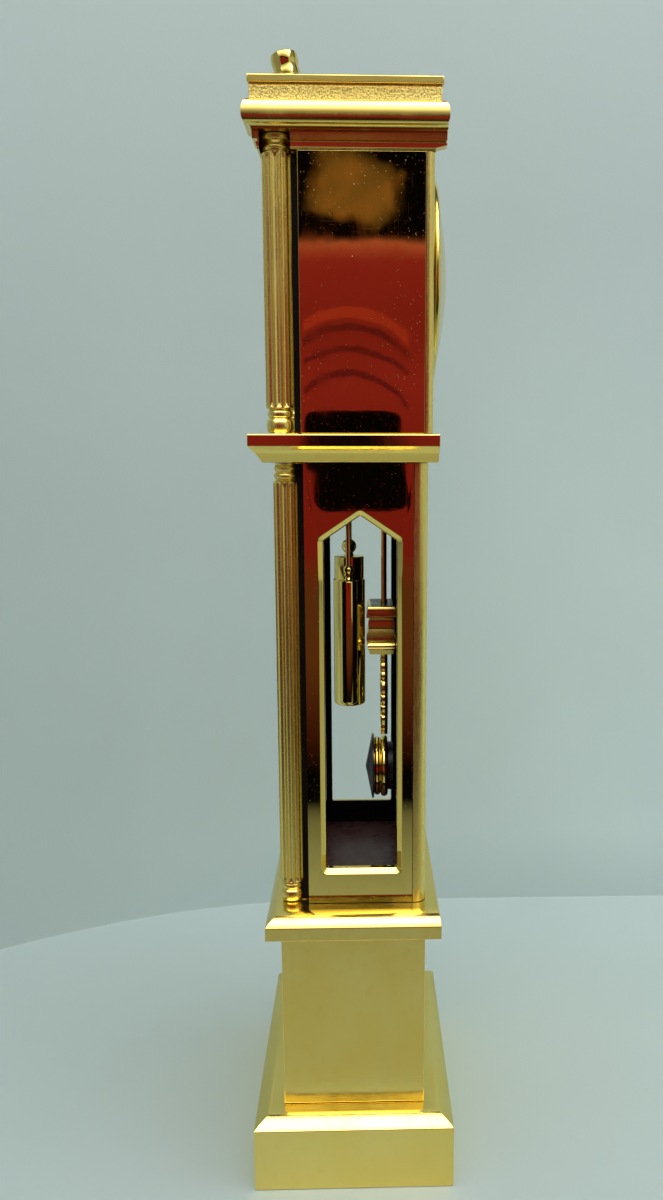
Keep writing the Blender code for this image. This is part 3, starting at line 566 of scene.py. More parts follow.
def column_profile(radius, height, capital):
    """Two base rings, the shaft and a capital; also the heights between which flutes run."""
    neck = capital[0][1] + 0.04
    base = [(0.0, 0.0), (0.84, 0.0)]
    base += arc((0.78, 0.53), (0.20, 0.49), -78, 78, 12)
    base += arc((0.78, 1.34), (0.13, 0.27), -85, 85, 8)
    base += [(0.80, 1.64), (0.88, 1.70), (1.0, 1.76)]
    flutes = (1.8 * radius, height - (neck + 0.08) * radius)
    low_end = [flutes[0] + 0.06 * k for k in range(16)]
    high_end = [flutes[1] - 0.06 * k for k in reversed(range(16))]
    profile = [(radius * r, radius * h) for r, h in base]
    profile += [(radius, h) for h in low_end + high_end]
    profile += [(radius * r, height - radius * h) for r, h in [(0.9, neck)] + capital]
    return profile, flutes


def build_columns(mat):
    for section, capital in (("hood", HOOD_CAPITAL), ("trunk", TRUNK_CAPITAL)):
        for side in ("left", "right"):
            node = f"{section}_column_{side}"
            low, high = box_mm(node)
            centre = ((low.x + high.x) / 2, (low.y + high.y) / 2, low.z)
            radius = (high.x - low.x) / 2
            profile, flutes = column_profile(radius, high.z - low.z, capital)
            turned(node + "_fluted", profile, centre, mat["column"], segments=192, sharp=50,
                   shape=flute_shape(flutes, radius), replaces=[node])


def flute_shape(flutes, radius, count=12):
    """Scooped grooves with rounded ends, with a narrow fillet between neighbours."""
    depth = radius * 0.12
    end_length = 0.7

    def shape(r, height, angle):
        ends = min(height - flutes[0], flutes[1] - height)
        if ends < 0 or r < radius - 0.01:
            return r
        fade = math.sqrt(min(1.0, ends / end_length))
        groove = max(0.0, math.cos(count * angle) + 0.6) / 1.6
        return r - depth * fade * math.sqrt(groove)
    return shape


# ---------------------------------------------------------------- trunk

LINING_THICK = 0.05


def window_ring(grow):
    """Pointed window as rounded (y, z) points, grown outward by grow."""
    front, back, sill, shoulder, apex = -4.45, 7.3, 54.1, 109.6, 113.6
    middle = (front + back) / 2
    points = [(front - grow, sill - grow), (back + grow, sill - grow),
              (back + grow, shoulder + grow * 0.55), (middle, apex + grow * 1.2),
              (front - grow, shoulder + grow * 0.55)]
    return round_corners(points, 0.35 + grow * 0.75)


def build_trunk(mat):
    rim = ((0.0, 0.95), (0.03, 0.88), (0.10, 0.79), (0.30, 0.56), (0.52, 0.31), (0.66, 0.13),
           (0.80, 0.03), (0.95, 0.0))
    for side, sign in (("left", -1), ("right", 1)):
        low, high = box_mm(f"trunk_side_{side}")
        thick = high.x - low.x
        outer = high.x if sign > 0 else low.x
        rings = [(depth, window_ring(grow)) for depth, grow in rim]
        rings.append((thick, window_ring(0.0)))
        rect = [(low.y, low.z), (high.y, low.z), (high.y, high.z), (low.y, high.z)]
        bm = plate_with_hole(lambda u, v, w: (outer - sign * w, u, v), rect, rings, thick)
        panel = to_piece(f"trunk_panel_{side}", bm, mat["mirror"],
                         replaces=[f"trunk_side_{side}"])
        keep_faces_flat(panel)
        inner = outer - sign * (thick + 0.01)
        hole = window_ring(0.12)
        bm = plate_with_hole(lambda u, v, w: (inner - sign * w, u, v), rect,
                             [(0.0, hole), (LINING_THICK, hole)], LINING_THICK)
        to_piece(f"trunk_lining_{side}", bm, mat["lining"], slot="dark_lining")

    rounded_back("trunk_back_plate", "trunk_back", 1.9, mat["satin_fine"])

    low, high = box_mm("trunk_front")
    thick = high.y - low.y
    rect = front_rect(low, high)
    round_r = 0.9
    rings = []
    for degrees in range(0, 91, 10):
        angle = math.radians(degrees)
        rings.append((round_r * (1 - math.cos(angle)), door_ring(round_r * (1 - math.sin(angle)))))
    rings.append((thick, door_ring(0.0)))
    bm = plate_with_hole(lambda u, v, w: (u, low.y + w, v), rect, rings, thick)
    door = to_piece("trunk_door", bm, mat["polished"], replaces=["trunk_front"])
    keep_faces_flat(door)

    hole = door_ring(0.12)
    bm = plate_with_hole(lambda u, v, w: (u, high.y + 0.01 + w, v), rect,
                         [(0.0, hole), (LINING_THICK, hole)], LINING_THICK)
    to_piece("trunk_lining_front", bm, mat["lining"], slot="dark_lining")
    back = box_mm("trunk_back")[0].y - 0.01
    bm = prism(rect, (back - LINING_THICK, back))
    to_piece("trunk_lining_back", bm, mat["lining"], slot="dark_lining")


def painted_shade_strips(name, node, forward, material):
    """Speckled dark skins on the upright edges of a front plate, behind the columns: painted shade
    standing in for the shadowed gap there.
    """
    low, high = box_mm(node)
    front = low.y - forward
    size = (0.06, high.y - front - 0.05, high.z - low.z - 0.1)
    for side, x in (("left", low.x), ("right", high.x)):
        bm = block(size, (x, (front + high.y) / 2, (low.z + high.z) / 2))
        to_piece(f"{name}_{side}", bm, material, slot="dark_lining")


def door_ring(grow):
    half, sill, shoulder, apex = 8.6, 54.1, 109.6, 114.8
    points = [(-half - grow, sill - grow), (half + grow, sill - grow),
              (half + grow, shoulder + grow * 0.7), (0.0, apex + grow * 1.1),
              (-half - grow, shoulder + grow * 0.7)]
    return round_corners(points, 0.35 + grow * 0.6)


def rounded_back(name, node, radius, material, hole=None):
    """Back plate with rounded upright outer edges, and a round hole if one is given."""
    low, high = box_mm(node)
    right = arc((high.x - radius, high.y - radius), radius, 0, 90, 10)
    left = [(-x, y) for x, y in reversed(right)]
    outline = [(high.x, low.y)] + right + left + [(low.x, low.y)]
    bm = prism(outline, (low.z, high.z), place=lambda u, v, z: (u, v, z))
    piece = to_piece(name, bm, material, replaces=[node])
    if hole:
        bore(piece, hole)
    keep_faces_flat(piece)


def bore(piece, hole):
    """Cut a round hole: (centre, axis, radius, start, end)."""
    centre, axis, radius, start, end = hole
    bm = bmesh.new()
    lathe(bm, [(0, start), (radius, start), (radius, end), (0, end)], centre, axis, 96)
    carve(piece, bm)


def carve(piece, bm):
    """Cut a bmesh in millimetres out of a piece."""
    bmesh.ops.recalc_face_normals(bm, faces=bm.faces)
    bmesh.ops.scale(bm, vec=(MM, MM, MM), verts=bm.verts)
    mesh = bpy.data.meshes.new("cutter")
    bm.to_mesh(mesh)
    bm.free()
    cutter = bpy.data.objects.new("cutter", mesh)
    bpy.context.scene.collection.objects.link(cutter)
    modifier = piece.modifiers.new("Bore", "BOOLEAN")
    modifier.operation = "DIFFERENCE"
    modifier.solver = "EXACT"
    modifier.object = cutter
    apply_modifiers(piece)
    bpy.data.objects.remove(cutter, do_unlink=True)
    piece.data.set_sharp_from_angle(angle=math.radians(32))


def apply_modifiers(piece):
    bpy.context.view_layer.update()
    evaluated = piece.evaluated_get(bpy.context.evaluated_depsgraph_get())
    mesh = bpy.data.meshes.new_from_object(evaluated)
    piece.modifiers.clear()
    piece.data = mesh


# ---------------------------------------------------------------- weights and pendulum

def build_weights(mat):
    for side in ("left", "centre", "right"):
        low, high = box_mm(f"weight_{side}")
        wide = side == "centre"
        radius = (high.x - low.x) / 2
        centre = ((low.x + high.x) / 2, (low.y + high.y) / 2, 0)
        bottom, top = low.z, 101.3 if wide else 102.2
        profile = [(0, bottom), (radius * 0.55, bottom + 0.05)]
        profile += arc((radius - 0.5, bottom + 0.55), 0.5, -80, 0, 6)
        if wide:
            profile += arc((radius - 0.12, top - 0.12), 0.12, 0, 80, 3)
            profile += [(2.55, top + 0.1), (2.6, top + 0.25)]
            profile += arc((2.42, 105.2), 0.18, 0, 80, 4)
            profile += [(1.2, 105.45), (0.85, 105.5), (0.7, 105.9)]
            profile += arc((0, 107.1), 1.3, -55, 65, 12)
            rod = 0.45
        else:
            profile += arc((radius - 0.2, top - 0.2), 0.2, 0, 85, 4)
            profile += [(0.75, top + 0.08), (0.62, top + 0.2), (0.52, top + 0.55), (0.72, top + 0.8),
                        (0.74, top + 1.0), (0.5, top + 1.2)]
            profile += arc((0, 104.0), 0.85, -45, 60, 10)
            rod = 0.42
        profile += [(rod, profile[-1][1] + 0.15), (rod, 119.8)]
        profile += arc((0.3, 120.5), (1.05, 0.7), -75, 80, 8) + [(0, 121.25)]
        turned(f"weight_{side}_turned", profile, centre, mat["polished"], segments=64,
               body=f"weight_{side}", replaces=[f"weight_{side}"])


def build_pendulum(mat):
    low, high = box_mm("pendulum_crosspiece")
    outline = [(0.55, 97.0), (0.38, 96.93), (0.24, 96.72), (0.15, 96.4), (0.12, 96.12),
               (0.12, 95.52), (0.0, 95.24), (0.0, 95.02), (0.55, 94.92), (0.33, 94.24),
               (0.33, 92.95), (0.42, 92.8), (0.0, 91.38), (0.0, 90.95), (0.3, 90.5),
               (0.35, 90.42), (0.14, 90.06), (0.35, 89.96), (0.35, 89.8), (0.2, 89.44),
               (0.42, 89.25), (0.6, low.z)]
    moulding("pendulum_bridge", "pendulum_crosspiece", outline, mat["soft"], bevel=0.03,
             body="pendulum")
    bm = stack(low, high, [(0.75, 0.75, 0.75, z) for z in (high.z - 0.3, high.z + 0.02)])
    to_piece("pendulum_bridge_inlay", bm, mat["black"], body="pendulum", slot="hand_black")

    rod_low, rod_high = box_mm("pendulum_rod")
    y = (rod_low.y + rod_high.y) / 2
    eye_r = (rod_high.x - rod_low.x) / 2
    pivot_z = rod_high.z - eye_r
    wire_r, hole_r = 0.50, 0.75
    ring = arc(((eye_r + hole_r) / 2, y), ((eye_r - hole_r) / 2, 0.52), 0, 360, 16)[:-1]
    bm = bmesh.new()
    lathe(bm, ring, (0, 0, pivot_z), "Y", 48, ring=True)
    foot, wire_top = high.z - 0.05, pivot_z - eye_r + 0.15
    lathe(bm, [(0, foot), (0.62, foot), (0.62, high.z + 0.4), (wire_r, high.z + 0.7),
               (wire_r, wire_top), (0, wire_top)], (0, y, 0), "Z", 32)
    to_piece("pendulum_stem", bm, mat["polished"], body="pendulum", replaces=["pendulum_rod"])

    build_lyre(mat, y)
    build_bob(mat)


def build_bob(mat):
    """Two-layer rim of gold, with a dark shallow cone in front and a dark drum behind."""
    low, high = box_mm("pendulum_bob")
    radius, z = (high.x - low.x) / 2, (high.z + low.z) / 2
    front, middle, back = 3.7, 4.9, 6.2
    front_r, back_r, drum_r = radius - 0.55, radius - 0.3, radius - 1.5
    profile = [(drum_r, front + 0.02), (front_r - 0.25, front + 0.02)]
    profile += arc((front_r - 0.5, (front + middle) / 2), (0.5, 0.56), -75, 75, 10)
    profile += [(front_r - 0.25, middle)]
    profile += arc((back_r - 0.5, (middle + back) / 2), (0.5, 0.62), -80, 80, 10)
    profile += [(drum_r, back)]
    turned("pendulum_rim", profile, (0, 0, z), mat["polished"], axis="Y", segments=128,
           ring=True, body="pendulum", replaces=["pendulum_bob"])
    cone = [(0, low.y), (0.25, low.y + 0.03), (radius - 0.12, front - 0.35),
            (radius, front - 0.25), (radius, front), (0, front)]
    turned("pendulum_cone_front", cone, (0, 0, z), mat["black"], axis="Y", segments=96,
           body="pendulum", slot="hand_black")
    drum = [(0, back - 0.3), (drum_r, back - 0.3), (drum_r, back + 0.9),
            (drum_r - 0.4, high.y - 0.1), (0, high.y)]
    turned("pendulum_drum_back", drum, (0, 0, z), mat["black"], axis="Y", segments=96,
           body="pendulum", slot="hand_black")


# Heights at which one scroll of the lyre's edge meets the next, from the top down
LYRE_SCROLLS = (88.2, 86.9, 85.2, 83.8, 81.1, 79.1, 77.2, 73.9, 73.1)


def build_lyre(mat, y):
    """Lyre cut from plate: scrolled outline, open middle, three strings and a round boss."""
    low, high = box_mm("pendulum_lyre")
    half_thick = 0.62
    outer, inner = [], []
    for top, bottom in zip(LYRE_SCROLLS, LYRE_SCROLLS[1:]):
        for k in range(10):
            t = k / 10
            z = top + (bottom - top) * t
            rise = (z - low.z) / (high.z - low.z)
            waist = 1.5 + 2.3 * math.sin(math.pi * (0.08 + 0.86 * rise)) ** 1.5
            lobe = 0.27 * (top - bottom) * math.sqrt(max(0.0, 1 - (2 * t - 1) ** 2))
            outer.append((waist + lobe, z))
            inner.append((max(0.25, waist - 1.0), min(max(z, low.z + 1.3), high.z - 1.3)))
    outer += [(-x, z) for x, z in reversed(outer)]
    inner += [(-x, z) for x, z in reversed(inner)]
    bm = bmesh.new()
    rings = []
    for points, inset in ((inner, 0.0), (outer, 0.18), (outer, 0.0)):
        scale = 1 - inset / 4
        rings.append([(x * scale, z) for x, z in points])
    loops = []
    for points, depth in ((rings[0], -1), (rings[1], -1), (rings[2], -0.55), (rings[2], 0.55),
                          (rings[1], 1), (rings[0], 1)):
        loops.append([bm.verts.new((x, y + depth * half_thick, z)) for x, z in points])
    for low_loop, high_loop in zip(loops, loops[1:] + loops[:1]):
        skin_sides(bm, low_loop, high_loop)
    bmesh.ops.remove_doubles(bm, verts=bm.verts, dist=1e-5)
    for x in (-0.75, 0.0, 0.75):
        lathe(bm, [(0, low.z + 1.0), (0.14, low.z + 1.0), (0.14, high.z - 1.0), (0, high.z - 1.0)],
              (x, y, 0), "Z", 12)
    boss_z = 79.8
    lathe(bm, arc((0, y), (1.15, half_thick + 0.08), -90, 90, 12), (0, 0, boss_z), "Y", 32)
    to_piece("pendulum_lyre_work", bm, mat["polished"], body="pendulum",
             replaces=["pendulum_lyre"], sharp=40)


# ---------------------------------------------------------------- hood

def build_shelf(mat):
    low, high = box_mm("middle_shelf")
    face = low.z + 2.7
    levels = [(2.15, 2.1, 0.12, low.z), (1.95, 2.0, 0.05, low.z + 0.12)]
    for k in range(9):
        t = k / 8
        bow = 0.16 * math.sin(math.pi * t)
        levels.append((1.9 * (1 - t) + bow, 1.9 * (1 - t) + bow, 0.04, low.z + 0.2 + 2.35 * t))
    levels += [(0.0, 0.0, 0.0, face), (0.0, 0.0, 0.0, high.z - 0.16), (0.16, 0.16, 0.1, high.z)]
    to_piece("shelf", stack(low, high, levels), mat["polished"], replaces=["middle_shelf"], bevel=0.07)


def build_hood(mat):
    # Painted shade: dark skins fill the shadowed gaps between the front plates and the columns.
    painted_shade_strips("hood_gap_shade", "hood_front", 0.45, mat["lining"])
    painted_shade_strips("trunk_gap_shade", "trunk_front", 0.9, mat["lining"])
    for side in ("left", "right"):
        node = f"hood_side_{side}"
        low, high = box_mm(node)
        bm = block(high - low, (high + low) / 2)
        to_piece(f"hood_panel_{side}", bm, mat["mirror"], replaces=[node], bevel=0.06)

    cover = box_mm("back_cover")
    dial_z = (cover[0].z + cover[1].z) / 2
    rounded_back("hood_back_plate", "hood_back", 1.1, mat["satin_fine"],
                 ((0, 0, dial_z), "Y", 14.9, 8, 16))

    low, high = box_mm("hood_front")
    thick = high.y - low.y
    circle = arc((0, dial_z), 11.6, 0, 360, 96)[:-1]
    bm = plate_with_hole(lambda u, v, w: (u, low.y + w, v), front_rect(low, high),
                         [(0.0, circle), (thick, circle)], thick)
    front = to_piece("hood_face", bm, mat["polished"], replaces=["hood_front"])
    keep_faces_flat(front)


# Cornice from its foot up: insets at the sides, front and back, and the height above the foot
CORNICE_LEVELS = (
    (2.50, 2.00, 1.90, 0.00), (2.50, 2.00, 1.90, 0.30), (2.45, 1.95, 1.90, 0.35),
    (2.40, 1.85, 0.20, 0.75), (2.35, 1.80, 0.20, 1.00), (2.75, 2.10, 0.35, 1.05),
    (2.75, 2.10, 0.35, 1.35), (2.30, 1.30, 0.20, 1.40), (2.25, 1.25, 0.20, 2.40),
    (1.47, 1.20, 0.15, 2.45), (1.52, 1.22, 0.15, 2.70), (1.22, 1.08, 0.15, 2.78),
    (1.16, 1.00, 0.15, 2.88), (1.05, 0.86, 0.15, 2.98), (0.85, 0.68, 0.15, 3.08),
    (0.60, 0.50, 0.15, 3.16))


def build_cornice(mat):
    low, high = box_mm("cornice")
    levels = [(side, front, back, low.z + up) for side, front, back, up in CORNICE_LEVELS]
    lower = arc((0.7, high.z - 2.3), (0.7, 1.05), 247, 180, 8)
    upper = arc((1.0, high.z - 1.95), (1.0, 1.95), 180, 90, 14)
    levels += [(inset, inset, inset, z) for inset, z in lower + upper]
    piece = to_piece("cornice_moulding", stack(low, high, levels), mat["soft"],
                     replaces=["cornice"])
    for side, sign in (("left", -1), ("right", 1)):
        column_low, column_high = box_mm(f"hood_column_{side}")
        centre = (column_low + column_high) / 2
        radius = (column_high.x - column_low.x) / 2 + 0.1
        top = column_high.z + 0.1
        bore(piece, ((centre.x, centre.y, 0), "Z", radius, low.z - 5, top))
        size = Vector((5.0, 2 * radius, top - low.z + 5))
        carve(piece, block(size, (centre.x + sign * size.x / 2, centre.y, top - size.z / 2)))
    for half, inner_y, outer_y in ((12.6, -12.4, low.y - 1), (15.5, 13.05, high.y + 1)):
        size = (2 * half, abs(outer_y - inner_y), high.z - low.z + 2)
        carve(piece, block(size, (0, (inner_y + outer_y) / 2, (low.z + high.z) / 2)))
    soften(piece, 0.04, 2)


def arch_path(low, high, shoulder, half, drop):
    """Shoulders and arch of the crown, as (x, z) from left to right, drop below the edge."""
    rise = high.z - shoulder
    radius = (half ** 2 + rise ** 2) / (2 * rise)
    reach = math.degrees(math.asin(half / radius))
    arch = arc((0, high.z - radius), radius - drop, 90 + reach, 90 - reach, 64)
    return [(low.x, shoulder - drop)] + arch + [(high.x, shoulder - drop)]


def build_crown(mat):
    """Grainy cast block behind a smooth raised border that follows the arch."""
    low, high = box_mm("crown")
    shoulder, half = 177.9, 14.6
    border, groove, recess = 1.05, 0.35, 0.25
    outer = arch_path(low, high, shoulder, half, 0.0)
    inner = arch_path(low, high, shoulder, half, border)
    bm = bmesh.new()
    sections = []
    for (x0, z0), (x1, z1) in zip(outer, inner):
        corners = ((x0, low.y, z0), (x0, high.y, z0), (x1, high.y, z1), (x1, low.y, z1))
        sections.append([bm.verts.new(corner) for corner in corners])
    skin(bm, sections)
    to_piece("crown_border", bm, mat["satin"], bevel=0.12, slot="cast_gold")

    field = arch_path(low, high, shoulder, half, border - 0.05)[1:-1]
    edge = shoulder - border
    notch = ((high.x - 0.45, edge + 0.05), (high.x - 0.45, edge - groove),
             (high.x - 0.31, edge - groove - 0.03), (high.x - 0.30, edge - 1.1),
             (high.x - 0.27, edge - 1.9), (high.x - 0.22, low.z))
    outline = [(-x, z) for x, z in reversed(notch)] + field + list(notch)
    bm = prism(outline, (low.y + recess, high.y - recess))
    to_piece("crown_casting", bm, mat["cast"], replaces=["crown"], bevel=0.1)

    low, high = box_mm("finial")
    y = (low.y + high.y) / 2
    lean = Matrix.Translation((0, y, low.z)) @ Matrix.Rotation(math.radians(11), 4, "X")
    profile = [(0, -0.05), (2.15, -0.05), (2.2, 0.3), (2.15, 1.0), (2.05, 1.5), (2.13, 2.0),
               (2.22, 2.4), (2.22, 3.2), (2.14, 3.6), (1.8, 3.88), (0.9, 4.02), (0, 4.05)]
    bm = bmesh.new()
    lathe(bm, profile, (0, 0, 0), "Z", 64)
    bmesh.ops.transform(bm, matrix=lean @ Matrix.Translation((0, 0, 0.35)), verts=bm.verts)
    to_piece("finial_turned", bm, mat["polished"], replaces=["finial"])


# ---------------------------------------------------------------- dial

def stroke(bm, start, end, width, low_y, high_y):
    """Flat bar between two (x, z) points on the dial."""
    a, b = Vector(start), Vector(end)
    side = (b - a).orthogonal().normalized() * width / 2
    prism([a - side, b - side, b + side, a + side], (low_y, high_y), bm=bm)


NUMERALS = ("XII", "I", "II", "III", "IIII", "V", "VI", "VII", "VIII", "IX", "X", "XI")
LETTER_WIDTH = {"I": 0.42, "V": 0.95, "X": 0.95}


def numeral(bm, text, angle, radius, centre_z, y):
    """Roman number whose foot points at the dial's centre."""
    height = 1.9
    turn = Matrix.Rotation(-angle, 2)
    x = -sum(LETTER_WIDTH[c] for c in text) / 2

    def spot(u, v):
        p = turn @ Vector((u, radius + v))
        return (p.x, p.y + centre_z)

    for letter in text:
        width = LETTER_WIDTH[letter]
        left, right, middle = x + 0.12, x + width - 0.12, x + width / 2
        parts = {"I": (((middle, 0), (middle, height), 0.22),),
                 "V": (((left, height), (middle, 0), 0.22), ((right, height), (middle, 0), 0.1)),
                 "X": (((left, height), (right, 0), 0.22), ((right, height), (left, 0), 0.1))}
        for start, end, thick in parts[letter]:
            stroke(bm, spot(*start), spot(*end), thick, y - 0.03, y)
        x += width


def build_dial(mat):
    low, high = box_mm("dial_plate")
    z, radius = (low.z + high.z) / 2, (high.x - low.x) / 2
    profile = [(1.25, low.y), (radius - 3.4, low.y), (radius - 3.3, low.y + 0.05),
               (radius - 3.2, low.y), (radius - 0.1, low.y), (radius, low.y + 0.1),
               (radius, high.y), (1.25, high.y)]
    turned("dial_disc", profile, (0, 0, z), mat["enamel"], axis="Y", segments=128, ring=True,
           replaces=["dial_plate"])
    bm = bmesh.new()
    for index, text in enumerate(NUMERALS):
        numeral(bm, text, 2 * math.pi * index / 12, radius - 3.05, z, low.y)
    for minute in range(60):
        angle = 2 * math.pi * minute / 60
        inset, width = (0.95, 0.2) if minute % 5 == 0 else (0.75, 0.1)
        inner = radius - inset
        direction = Vector((math.sin(angle), math.cos(angle)))
        a, b = direction * inner, direction * (radius - 0.45)
        stroke(bm, (a.x, a.y + z), (b.x, b.y + z), width, low.y - 0.03, low.y)
    to_piece("dial_figures", bm, mat["black"], slot="hand_black")

    low, high = box_mm("dial_bezel")
    outer = (high.x - low.x) / 2

    def coin_edge(r, height, angle):
        milled = r > outer - 0.05 and low.y + 0.7 < height < high.y - 0.2
        return r - (0.09 if milled and math.cos(90 * angle) > 0 else 0.0)

    profile = [(11.45, high.y), (outer - 0.1, high.y), (outer, high.y - 0.1), (outer, high.y - 0.3)]
    profile += [(outer, low.y + 1.2)] + arc((outer - 0.75, low.y + 0.8), (0.75, 0.8), 0, -90, 8)
    profile += arc((11.3, low.y + 0.45), (0.4, 0.45), 270, 180, 6) + [(10.9, low.y + 0.7)]
    profile += [(11.45, low.y + 0.7)]
    turned("bezel", profile, (0, 0, z), mat["polished"], axis="Y", segments=360, ring=True,
           shape=coin_edge, replaces=["dial_bezel"])

    low, high = box_mm("dial_crystal")
    radius = (high.x - low.x) / 2
    profile = [(0, low.y), (radius * 0.9, low.y + 0.05), (radius, low.y + 0.2),
               (radius, high.y), (0, high.y)]
    turned("watch_glass", profile, (0, 0, z), mat["crystal"], axis="Y", segments=128,
           replaces=["dial_crystal"])
    build_hands(mat, z)


def spade(length, tail, scale):
    """Half-outline of a spade hand, tail to tip, as (half width, distance)."""
    blade = ((0.16, 0.45), (0.34, 0.52), (0.78, 0.6), (0.92, 0.67), (0.72, 0.74), (0.30, 0.79),
             (0.16, 0.84))
    back = [(0.18 * scale, -tail), (0.30 * scale, -tail * 0.6), (0.16 * scale, -0.9)]
    return back + [(half * scale, length * share) for half, share in blade] + [(0.03, length)]


def build_hands(mat, z):
    for node, body, length, tail, scale, hub, hole, angle in (
            ("hour_hand", "hour_train", 6.2, 1.6, 1.0, 1.75, 1.15, -55.0),
            ("minute_hand", "minute_train", 9.2, 2.2, 0.75, 1.25, 0.52, 60.0)):
        low, high = box_mm(node)
        turn = Matrix.Rotation(math.radians(-angle), 2)
        half = spade(length, tail, scale)
        points = [turn @ Vector(p) for p in half + [(-x, d) for x, d in reversed(half)]]
        bm = prism([(p.x, z + p.y) for p in points], (low.y, high.y))
        blade = to_piece(f"{node}_blade", bm, mat["black"], body=body)
        bore(blade, ((0, 0, z), "Y", hub - 0.05, low.y - 1, high.y + 1))
        profile = [(hole, low.y), (hub - 0.1, low.y), (hub, low.y + 0.06), (hub, high.y),
                   (hole, high.y)]
        turned(f"{node}_hub", profile, (0, 0, z), mat["black"], axis="Y", segments=48, ring=True,
               body=body, replaces=[node])


# ---------------------------------------------------------------- back

def build_back_cover(mat):
    low, high = box_mm("back_cover")
    z, radius = (low.z + high.z) / 2, (high.x - low.x) / 2
    rim = low.y + 1.6
    dome = []
    for i in range(25):
        t = i / 24
        r = (radius - 1.3) * (1 - t)
        dome.append((r, rim + 0.95 + (high.y - rim - 0.95) * math.sin(t * math.pi / 2)))
    lip = arc((radius - 0.55, rim + 0.45), (0.55, 0.45), -90, 80, 8)
    step = [(radius - 0.9, rim + 0.9), (radius - 1.1, rim + 0.8)]
    inside = [(r * 0.9, y - 0.75) for r, y in reversed(dome)]
    skirt = [(14.0, rim + 0.05), (14.0, low.y), (14.55, low.y), (14.6, low.y + 0.3), (14.6, rim)]
    profile = inside + skirt + lip + step + dome
    turned("cover_dome", profile, (0, 0, z), mat["satin"], axis="Y", segments=128,
           body="back_cover", replaces=["back_cover"], sharp=40)


# ---------------------------------------------------------------- stage

def pale_board(dark, light):
    """Pale board with a shade painted on by place: lighter low down and beside the clock's back."""
    n = Nodes("pale_board")
    weave = n.noise(0.6, 3)
    place = n.add("ShaderNodeSeparateXYZ", {"Vector": n.place}).outputs
    wall = n.span(place["Z"], 0.0, 0.02)
    across = n.span(place["Y"], -0.06, 0.06, 0.45, 1.0)
    down = n.span(place["Z"], 0.09, 0.18, 1.0, 0.25)
    share = n.add("ShaderNodeMix", {0: wall, 2: 0.35, 3: n.times(across, down)})
    tone = n.mix(share.outputs[0], rgb(*dark), rgb(*light))
    tone = n.mix(n.vary(n.noise(60, 3), 0.0, 0.25), tone, rgb(*dark))
    return n.finish(tone, n.vary(weave, 0.55, 0.65), n.bump(weave, 0.02))


def seam_out(y):
    """How far beyond the clock the floor turns up into the wall; it bows nearer on one side."""
    bow = min(max(0.0, -y - 8), 95.0)
    return 79.0 - 0.0036 * bow ** 2


def build_stage():
    """Pale floor that turns up into a pale wall beyond the clock, on its left side."""
    wide, wall_top, turn_r = 1400.0, 300.0, 0.3
    sides = [-wide, -400] + [-150 + 10 * k for k in range(21)] + [200, 400, wide]
    turn = arc((turn_r, turn_r), turn_r, 270, 180, 6)
    bm = bmesh.new()
    rows = []
    for z, lift in [(0.0, None)] + [(z, inset) for inset, z in turn] + [(wall_top, 0.0)]:
        row = []
        for y in sides:
            out = -wide if lift is None else seam_out(y) - lift
            row.append(bm.verts.new((-out, y, z - 0.02)))
        rows.append(row)
    for low, high in zip(rows, rows[1:]):
        for i in range(len(sides) - 1):
            bm.faces.new((low[i], low[i + 1], high[i + 1], high[i]))
    board = pale_board((0.49, 0.586, 0.59), (0.67, 0.80, 0.805))
    to_piece("floor_sweep", bm, board, body=None, sharp=60)


def banded(name, axis, stops):
    """Light given off by a card: (millimetres along axis, colour) with soft steps between."""
    n = Nodes(name)
    parts = n.add("ShaderNodeSeparateXYZ", {"Vector": n.place}).outputs
    start, end = stops[0][0], stops[-1][0]
    place = n.span(parts[axis], start * MM, end * MM)
    ramp = n.add("ShaderNodeValToRGB", {"Fac": place})
    elements = ramp.color_ramp.elements
    for index, (where, colour) in enumerate(stops):
        share = (where - start) / (end - start)
        element = elements[index] if index < 2 else elements.new(share)
        element.position = share
        element.color = rgb(*colour)
    return n.glow(ramp.outputs["Color"])


def ragged(name, centre, half, core, shade):
    """Light given off as a soft uneven patch around a centre, black outside it."""
    n = Nodes(name)
    offset = n.place
    for operation, sizes in (("SUBTRACT", centre), ("DIVIDE", half)):
        inputs = {0: offset, 1: [size * MM for size in sizes]}
        offset = n.add("ShaderNodeVectorMath", inputs, operation=operation).outputs[0]
    reach = n.add("ShaderNodeVectorMath", {0: offset}, operation="LENGTH").outputs["Value"]
    edge = n.plus(reach, n.vary(n.noise((70, 50, 50), 3), -0.35, 0.35))
    tone = n.mix(n.span(n.noise((60, 40, 30), 2), 0.40, 0.60), rgb(*core), rgb(*shade))
    return n.glow(n.mix(n.span(edge, 0.65, 1.1), tone, rgb(*BLACK)))


def card(name, corners, material):
    """Card that gives off light, seen in reflections but not by the camera."""
    bm = bmesh.new()
    bm.faces.new([bm.verts.new(corner) for corner in corners])
    piece = to_piece(name, bm, material, body=None)
    for ray in ("camera", "diffuse", "shadow", "transmission"):
        setattr(piece, f"visible_{ray}", False)


BLACK = (0.002, 0.0015, 0.0015)
MAROON = (0.045, 0.010, 0.008)
RED = (0.255, 0.021, 0.030)
BROWN = (0.26, 0.115, 0.040)
ORANGE = (0.105, 0.036, 0.018)
DUSK = (0.080, 0.024, 0.014)
PANEL_X = 17.0
# The main camera's place mirrored in the right side panels, in millimetres
EYE = (2 * PANEL_X - CAMERA_PLACE[0] / MM, CAMERA_PLACE[1] / MM, CAMERA_PLACE[2] / MM)


def seen_from_eye(x, y, slope):
    """Point at distance x on the line from the mirrored camera past (PANEL_X, y) at a slope."""
    reach = x - EYE[0]
    return (x, EYE[1] + (y - EYE[1]) * reach / (PANEL_X - EYE[0]), EYE[2] + slope * reach)


